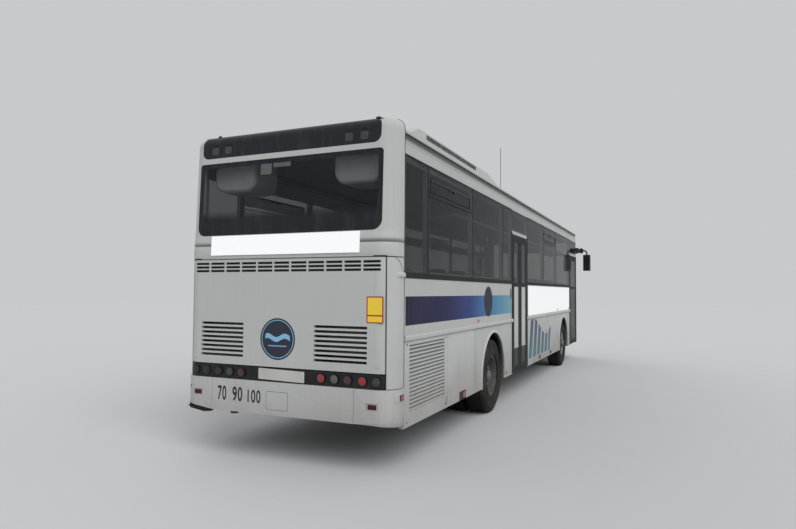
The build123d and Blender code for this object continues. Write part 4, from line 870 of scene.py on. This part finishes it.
def arch_trim():
    """Painted flares round the wheel arches, the joint under the rub rail, mud flaps and underbody shields."""
    flares = Piece()
    section = ((0.5985, 0.0), (0.5985, 0.012), (0.603, 0.015), (0.614, 0.014), (0.630, 0.007), (0.640, 0.0))
    half, spare, drop = 32, 2, 0.064
    for side in SIDES:
        for axle in (REAR_AXLE, FRONT_AXLE):
            loops = []
            for k in range(-spare, half + spare + 1):
                a = pi * min(max(k, 0), half) / half
                z = ARCH_Z - drop * max(-k, k - half, 0)
                y = HALF - 0.002
                loops.append([(at(axle) + r * cos(a), side * (y + w), z + r * sin(a)) for r, w in section])
            flares.loft(*loops)
    flares.done("arch_flares", PAINT, crease=50)
    joints, flaps, shields = Piece(), Piece(), Piece()
    for side, a, b in ((-1, 0.26, 4.56), (-1, 5.75, 10.60), (1, 0.26, 11.70)):
        joints.strip(side, a, b, JOINT_Z - 0.0035, JOINT_Z + 0.0035, 0.0008)
    joints.done("rub_rail_joint", RUBBER)
    for y0, y1 in ((-1.19, -0.62), (0.62, 1.19)):
        flaps.box(at(REAR_AXLE - 0.632), at(REAR_AXLE - 0.624), y0, y1, 0.30, 0.86)
    flaps.done("mud_flaps", RUBBER)
    for x0, x1 in ((FRONT_AXLE + 0.545, FRONT_AXLE + 0.905), (REAR_AXLE - 0.625, REAR_AXLE - 0.535)):
        shields.box(at(x0), at(x1), -0.56, 0.56, 0.40, 0.88)
    shields.done("underbody_shields", CHASSIS, bevel=0.006)


def tyre_profile():
    """The section of a tyre: bead, bulging walls with two rings, round shoulders and grooved tread."""
    wall = [
        (BEAD_R, -0.130), (BEAD_R + 0.004, -0.144), (0.330, -0.149), (0.334, -0.1515), (0.340, -0.149),
        (0.400, -0.1485), (0.452, -0.147), (0.456, -0.1489), (0.464, -0.144), (0.490, -0.134), (0.506, -0.128),
    ]
    crown = [(0.514, -0.120)]
    for groove in (-0.078, -0.026, 0.026, 0.078):
        crown += [(0.521, groove - 0.007), (0.508, groove - 0.005), (0.508, groove + 0.005), (0.521, groove + 0.007)]
    crown.append((0.514, 0.120))
    return wall + crown + [(r, -w) for r, w in wall[::-1]] + [(BEAD_R, 0.0)]


def block_tree():
    """Geometry Nodes that set blocks round an axle: their count, radius, size and material are inputs."""
    tree = bpy.data.node_groups.new("tread_sipes", "GeometryNodeTree")
    socket, make = tree.interface.new_socket, tree.nodes.new
    socket("Geometry", in_out="INPUT", socket_type="NodeSocketGeometry")
    kinds = (("Count", "Int"), ("Radius", "Float"), ("Size", "Vector"), ("Material", "Material"))
    sockets = [socket(name, in_out="INPUT", socket_type="NodeSocket" + kind).identifier for name, kind in kinds]
    socket("Geometry", in_out="OUTPUT", socket_type="NodeSocketGeometry")
    source, out = make("NodeGroupInput"), make("NodeGroupOutput")
    circle, cube = make("GeometryNodeMeshCircle"), make("GeometryNodeMeshCube")
    place, where = make("GeometryNodeInstanceOnPoints"), make("GeometryNodeInputPosition")
    turn = make("FunctionNodeAlignRotationToVector")
    turn.axis, turn.pivot_axis = "X", "Z"
    real, paint = make("GeometryNodeRealizeInstances"), make("GeometryNodeSetMaterial")
    for start, given, end, taken in (
        (source, "Count", circle, "Vertices"),
        (source, "Radius", circle, "Radius"),
        (source, "Size", cube, "Size"),
        (circle, "Mesh", place, "Points"),
        (cube, "Mesh", place, "Instance"),
        (where, 0, turn, "Vector"),
        (turn, 0, place, "Rotation"),
        (place, "Instances", real, 0),
        (real, 0, paint, "Geometry"),
        (source, "Material", paint, "Material"),
        (paint, 0, out, 0),
    ):
        tree.links.new(start.outputs[given], end.inputs[taken])
    return tree, sockets


RING_TREE, RING_SOCKETS = block_tree()


def ring_of_blocks(name, material, body, axle, places):
    """Blocks in rings about an axle, made by Geometry Nodes: count, radius, block size and offset of each ring."""
    whole = bmesh.new()
    for count, radius, size, offset in places:
        holder = placed(name, bpy.data.meshes.new(name))
        nodes = holder.modifiers.new("ring", "NODES")
        nodes.node_group = RING_TREE
        for socket, value in zip(RING_SOCKETS, (count, radius, size, material)):
            nodes[socket] = value
        shape = drawn(holder)
        upright = Matrix.Rotation(radians(90), 4, "X")
        shape.transform(Matrix.Translation((at(axle), offset, TYRE_R)) @ upright)
        whole.from_mesh(shape)
    data = bpy.data.meshes.new(name)
    whole.to_mesh(data)
    whole.free()
    data.materials.append(material)
    riding(name, data, body)


def wheels():
    """Tyres with grooved tread over the CAD rims, with hub caps, nuts and hand holes.

    Each row gives the body, the tyre's node and the axle, the offsets of the tyres, and how far out of the outer one
    the rim's face and the hub cap are, and out of that face the nuts and the hand holes.
    """
    twins = (REAR_WHEEL_Y - TWINS / 2, REAR_WHEEL_Y + TWINS / 2)
    rows = (
        ("front", "front_wheel_", "front_tyre_", FRONT_AXLE, (FRONT_WHEEL_Y,), 0.100, 0.125, 0.016, 0.006),
        ("rear", "rear_wheels_", "rear_tyres_", REAR_AXLE, twins, -0.15, 0.06, 0.015, 0.032),
    )
    cap = [
        (0.0001, 0.052), (0.045, 0.050), (0.068, 0.042), (0.076, 0.028), (0.078, 0.0), (0.104, 0.0), (0.104, -0.01),
        (0.0001, -0.01), (0.0001, 0.052),
    ]
    for end, body, node, axle, offsets, face, hub, nut, hole in rows:
        for hand, side in (("left", 1), ("right", -1)):
            name = f"{end}_{hand}"
            tyres, out = Piece(), offsets[-1]
            for offset in offsets:
                tyres.turned(tyre_profile(), (at(axle), side * offset, TYRE_R), (0, 1, 0), 72)
            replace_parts(tyres.done("tyre_" + name, TYRE, body + hand), node + hand)
            places = [side * offset + w for offset in offsets for w in (-0.104, -0.052, 0.0, 0.052, 0.104)]
            sipes = [(60, 0.5155, (0.0115, 0.040, 0.0035), y) for y in places]
            ring_of_blocks("tread_" + name, RUBBER, body + hand, axle, sipes)
            nuts = [(10, 0.1675, (0.030, 0.030, 0.030), side * (out + face + nut))]
            ring_of_blocks("nuts_" + name, STEEL, body + hand, axle, nuts)
            holes, y = Piece(), side * (out + face + hole)
            for dx, dz in circle(8, 0.222, 0.5):
                holes.disc((at(axle) + dx, y, TYRE_R + dz), (0, side, 0), 0.027, 0.001, steps=20)
            holes.done("hand_holes_" + name, RUBBER, body + hand)
            hubs = Piece().turned(cap, (at(axle), side * (out + hub), TYRE_R), (0, side, 0), 40)
            hubs.done("hub_cap_" + name, WHEEL, body + hand)


def cushion(rows):
    """Crowned upholstered blocks: each a soft form whose sides pull in between its corners."""
    soft = Piece()
    nx, ny, nz = cells = (5, 7, 5)
    for x0, x1, y0, y1, z0, z1, lean in rows:
        def spot(i, j, k):
            u, v, w = 2 * i / nx - 1, 2 * j / ny - 1, 2 * k / nz - 1
            x = (x0 + x1) / 2 + u * (x1 - x0) / 2 * (1 - 0.10 * v ** 4 - 0.06 * w ** 2)
            y = (y0 + y1) / 2 + v * (y1 - y0) / 2 * (1 - 0.05 * w ** 2 - 0.05 * u ** 2)
            z = (z0 + z1) / 2 + w * (z1 - z0) / 2 * (1 - 0.12 * u ** 4 - 0.10 * v ** 4)
            return x + lean * (z - z0), y, z
        grid = {}
        for i in range(nx + 1):
            for j in range(ny + 1):
                for k in range(nz + 1):
                    if i in (0, nx) or j in (0, ny) or k in (0, nz):
                        grid[i, j, k] = soft.mesh.verts.new(spot(i, j, k))
        for a, b, c in ((0, 1, 2), (0, 2, 1), (1, 2, 0)):
            for p in range(cells[a]):
                for q in range(cells[b]):
                    for end in (0, cells[c]):
                        keys = [{a: p + da, b: q + db, c: end} for da, db in ((0, 0), (1, 0), (1, 1), (0, 1))]
                        soft.mesh.faces.new([grid[key[0], key[1], key[2]] for key in keys])
    return soft


def seats():
    """Padded cushions and backs over the CAD seats and the bench, on steel pedestals."""
    bottoms, backs, legs = [], [], Piece()
    first, pitch, depth, gap = 1.78, 0.79, 0.56, 0.03

    def seat(x, cushion_y, back_y, head_y, lift=0.0, thick=0.095):
        bottoms.append((at(x + 0.11), at(x + 0.555), *cushion_y, 1.225 + lift, 1.345 + lift, 0.0))
        backs.append((at(x + 0.095), at(x + 0.095 + thick), *back_y, 1.31 + lift, 1.86 + lift, -0.10))
        backs.append((at(x + 0.035), at(x + 0.110), *head_y, 1.87 + lift, 2.00 + lift, -0.05))

    for side, end in ((-1, 10.62), (1, 10.48)):
        x = first
        y0, y1 = sorted((side * 0.33, side * 1.19))
        middle = (y0 + y1) / 2
        while x + depth < end:
            by_door = side < 0 and x + depth > MID_DOOR[0] - gap and x < MID_DOOR[1] + gap
            if not by_door:
                for a, b in ((y0 + 0.004, middle - 0.006), (middle + 0.006, y1 - 0.004)):
                    seat(x, (a, b), (a, b), (a + 0.085, b - 0.085), thick=0.09)
                over_arch = abs(x + 0.31 - REAR_AXLE) < 0.78 or abs(x + 0.31 - FRONT_AXLE) < 0.84
                foot = 1.19 if over_arch else 0.90
                legs.box(at(x + 0.20), at(x + 0.42), y0 + 0.14, y1 - 0.14, foot, 1.24)
                legs.box(at(x + 0.10), at(x + 0.53), y0 + 0.03, y1 - 0.03, 1.205, 1.235)
            x += pitch
    for k in range(5):
        a, b = -1.19 + k * 0.476, -1.19 + (k + 1) * 0.476
        seat(0.31, (a + 0.006, b - 0.006), (a + 0.006, b - 0.006), (a + 0.09, b - 0.09), lift=0.25)
    legs.box(at(0.46), at(0.74), -1.06, 1.06, 1.15, 1.49)
    seat(10.48, (0.485, 0.975), (0.49, 0.97), (0.62, 0.84))
    legs.box(at(10.63), at(10.91), 0.60, 0.86, 0.90, 1.24)
    legs.done("seat_pedestals", CHASSIS, bevel=0.004)
    for name, rows, node in (("seat_pads", bottoms, "seat_cushions"), ("seat_back_pads", backs, "seat_backs")):
        pads = cushion(rows).done(name, CLOTH, crease=80)
        round_off = pads.modifiers.new("round_off", "SUBSURF")
        round_off.levels = round_off.render_levels = 1
        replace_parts(pads, node)


def interior():
    """Side and roof linings, housings at the rear of the ceiling, notices on the glass and grab poles."""
    linings, housings, notices, poles = Piece(), Piece(), Piece(), Piece()
    for side, x0, x1 in ((-1, 1.75, 4.55), (-1, 5.76, 10.60), (1, 1.75, 11.0)):
        linings.box(at(x0), at(x1), side * 1.175, side * 1.204, 1.20, 1.86)
    ceiling = [
        (-1.15, 3.258), (-0.60, 3.30), (0.60, 3.30), (1.15, 3.258),
        (1.15, 3.250), (0.60, 3.290), (-0.60, 3.290), (-1.15, 3.250),
    ]
    linings.rear_plate(at(0.30), at(11.5), ceiling).done("linings", LINING)
    for side in SIDES:
        outline = rounded(0.49, 1.04, 2.80, 3.262, 0.13)
        housings.rear_plate(at(0.20), at(0.62), [(side * y, z) for y, z in outline])
    housings.done("rear_ceiling_housings", PALE_TRIM, bevel=0.03)
    for corners in (rectangle(0.176, 0.311, 2.933, 3.080), rectangle(-0.059, 0.155, 3.001, 3.079)):
        notices.leaning_plate(corners, 0.0095, 0.0110)
    notices.done("blank_notices", NOTICE)
    for x, y in ((4.58, -0.62), (5.76, -0.62), (10.60, -0.62), (8.10, 0.31), (6.30, -0.31)):
        poles.tube([(at(x), y, 0.905), (at(x), y, 3.24)], 0.017)
    poles.done("grab_poles", HANDRAIL)


def roof_details():
    """Fans and side louvres of the roof unit, and two roof hatches."""
    fans, louvres, lids = Piece(), Piece(), Piece()
    top = 3.528
    ring = [(0.25, 0.0), (0.30, 0.0), (0.293, 0.024), (0.257, 0.024), (0.25, 0.0)]
    for x in (at(1.42), at(2.20), at(2.98)):
        for y in (-0.44, 0.44):
            centre = (x, y, top)
            fans.turned(ring, centre, UP, 40).disc(centre, UP, 0.06, 0.014, 0.004, 24)
            for dx, dy in circle(12):
                fans.tube([(x + r * dx, y + r * dy, top + 0.012) for r in (0.05, 0.254)], 0.004, 6)
            for r in (0.12, 0.185):
                a, b = r - 0.003, r + 0.003
                fans.turned([(a, 0.009), (b, 0.009), (b, 0.015), (a, 0.015), (a, 0.009)], centre, UP, 40)
    fans.done("roof_fans", BLACK)
    for side in SIDES:
        inner, outer = side * 1.1055, side * 1.118
        for k in range(4):
            z = 3.4215 + k * 0.0135
            section = [(inner, z + 0.006), (outer, z), (outer, z + 0.004), (inner, z + 0.010)]
            louvres.rear_plate(at(1.152), at(3.048), section)
        for x in (1.15, 1.62, 2.10, 2.58, 3.03):
            louvres.box(at(x), at(x + 0.02), side * 1.105, side * 1.1185, 3.4185, 3.4735)
    louvres.done("roof_unit_louvres", GREY_GRILLE)
    for x in (at(5.9), at(9.2)):
        for z, inset in ((3.386, 0.0), (3.420, 0.03)):
            outlines = []
            for height, half in ((z, 0.40 - inset), (z + 0.034, 0.39 - inset)):
                outline = rounded(x - half, x + half, 0.02 - half, half - 0.02, 0.06)
                outlines.append([(a, b, height) for a, b in outline])
            lids.loft(*outlines)
    lids.done("roof_hatches", PAINT, bevel=0.004)


def front_details():
    """Lamp bowls and lenses, plate, mirror glasses and the black shrouds at the roots of the mirror arms."""
    bowls, lenses, amber, glasses, shrouds = (Piece() for _ in range(5))
    bowl = [
        (0.046, 0.012), (0.052, 0.014), (0.054, 0.0), (0.0001, -0.012), (0.0001, -0.008), (0.030, -0.002),
        (0.046, 0.012),
    ]
    for side in SIDES:
        for k, x in enumerate((11.93, 11.893, 11.871)):
            y, axis = side * (0.650 + (k + 0.5) * 0.425 / 3), (1, 0.16 * side * k, 0)
            (bowls if k < 2 else amber).turned(bowl, (at(x), y, 0.835), axis, 32)
            lenses.disc((at(x - 0.006), y, 0.835), axis, 0.018, 0.006, 0.008, 20)
    bowls.done("headlamp_bowls", CHROME)
    lenses.done("headlamp_bulbs", CLEAR_LENS)
    amber.done("front_indicators", AMBER_LENS)
    plate = Piece().box(at(11.984), at(11.994), -0.26, 0.26, 0.502, 0.612)
    plate.done("front_plate", PLATE, bevel=0.002)
    ahead, aside = 0.616, 0.788
    for side in SIDES:
        y0, y1 = sorted((side * (1.51 - 0.062), side * (1.51 + 0.062)))
        glasses.rear_plate(at(12.002), at(12.005), rounded(y0, y1, 2.342, 2.705, 0.02))
        out, across = Vector((ahead, side * aside, 0)), Vector((-side * aside, ahead, 0))
        foot = Vector((at(11.79), side * 1.165, 2.855))
        for start, end, high in ((0.095, 0.195, 0.080), (0.225, 0.320, 0.072)):
            loops = []
            for share in (k / 6 for k in range(7)):
                size = sin(pi * (0.14 + 0.72 * share)) ** 0.45
                middle = foot + out * (start + (end - start) * share)
                ring = rounded(-0.042 * size, 0.042 * size, -high * size, high * size, 0.030 * size, 3)
                loops.append([middle + across * a + Vector((0, 0, b)) for a, b in ring])
            shrouds.loft(*loops)
    glasses.done("mirror_glasses", MIRROR)
    shrouds.done("mirror_arm_shrouds", BLACK, crease=50)


def screen_borders():
    """The black fired border on the inner face of the rear window."""
    outline = rounded(-1.114, 1.114, 2.306, 3.094, 0.035, 6, 0.10)
    border = Piece().border(outline, 0.050, at(REAR_FACE + 0.0095), at(REAR_FACE + 0.0110))
    for vertex in border.mesh.verts:
        vertex.co.x += rear_face(vertex.co.z) - REAR_FACE
    border.done("rear_window_border", FRIT)


def seen_or_lit(tree, kind, out, lit, seen):
    """Two shaders of a kind, from their socket values: one lights the bus, the other shows to the camera."""
    rays = tree.nodes.new("ShaderNodeLightPath")
    shown = Wire(rays.outputs["Is Camera Ray"])
    for name in ("Is Glossy Ray", "Is Transmission Ray"):
        shown = shown | Wire(rays.outputs[name])
    mix = tree.nodes.new("ShaderNodeMixShader")
    tree.links.new(shown.socket, mix.inputs[0])
    for place, values in enumerate((lit, seen), 1):
        shader = tree.nodes.new("ShaderNode" + kind)
        for name, value in values.items():
            shader.inputs[name].default_value = value
        tree.links.new(shader.outputs[0], mix.inputs[place])
    tree.links.new(mix.outputs[0], tree.nodes.new("ShaderNodeOutput" + out).inputs[0])


def studio():
    """A floor as pale as the plain backdrop, soft even light, and two soft lamps."""
    stage = Piece().box(-60, 70, -60, 60, -0.03, 0)
    floor = bpy.data.meshes.new("studio_floor")
    stage.mesh.to_mesh(floor)
    stage.mesh.free()
    material = bpy.data.materials.new("pale_floor")
    scene = bpy.context.scene
    world = scene.world = scene.world or bpy.data.worlds.new("studio")
    for block in (material, world):
        block.use_nodes = True
        block.node_tree.nodes.clear()
    pale = (*(tone * FLOOR_SHARE for tone in BACKDROP), 1)
    seen_or_lit(material.node_tree, "BsdfDiffuse", "Material", {"Color": (0.42, 0.42, 0.42, 1)}, {"Color": pale})
    sky = {"Color": (0.97, 0.985, 1.0, 1), "Strength": 0.78}
    seen_or_lit(world.node_tree, "Background", "World", sky, {"Color": (*BACKDROP, 1), "Strength": 1.0})
    floor.materials.append(material)
    placed("studio_floor", floor)
    for name, place, power in (("soft_key", (-14, -16, 18), 2.1), ("soft_fill", (12, 15, 10), 0.75)):
        light = bpy.data.lights.new(name, "SUN")
        light.angle, light.energy = radians(50), power
        lamp = placed(name, light)
        lamp.location = place
        lamp.rotation_euler = Vector(place).to_track_quat("Z", "Y").to_euler()
        lamp.visible_glossy = False
    scene.view_settings.view_transform = "Standard"


def photo_camera():
    """The photograph's viewpoint, worked out from the bus's edges: place, heading, tilt, roll and lens."""
    yaw, pitch, roll = radians(24.2186), radians(2.5309), radians(0.3798)
    place = Matrix.Translation((at(-5.105), -3.596, 1.723))
    ahead = Vector((cos(pitch) * cos(yaw), cos(pitch) * sin(yaw), sin(pitch)))
    right = ahead.cross(Vector(UP)).normalized()
    up = right.cross(ahead)
    side = right * cos(roll) + up * sin(roll)
    top = up * cos(roll) - right * sin(roll)
    lens_data = bpy.data.cameras.new("photo_camera")
    lens_data.sensor_width, lens_data.lens, lens_data.clip_end = 36, 27.46, 200
    camera = placed("photo_camera", lens_data)
    camera.matrix_world = place @ Matrix((side, top, -ahead)).transposed().to_4x4()
    bpy.context.scene.camera = camera


dress_nodes()
rear_lamp_lenses()
rear_plate_and_sign()
hatch_labels()
bumper_marks()
rear_corner_forms()
rear_seams()
bumper_foot()
high_lamps()
window_rubber()
hopper_vents()
side_marks()
flap_furniture()
door_trim()
arch_trim()
wheels()
seats()
interior()
roof_details()
front_details()
screen_borders()
studio()
photo_camera()

bpy.context.view_layer.update()
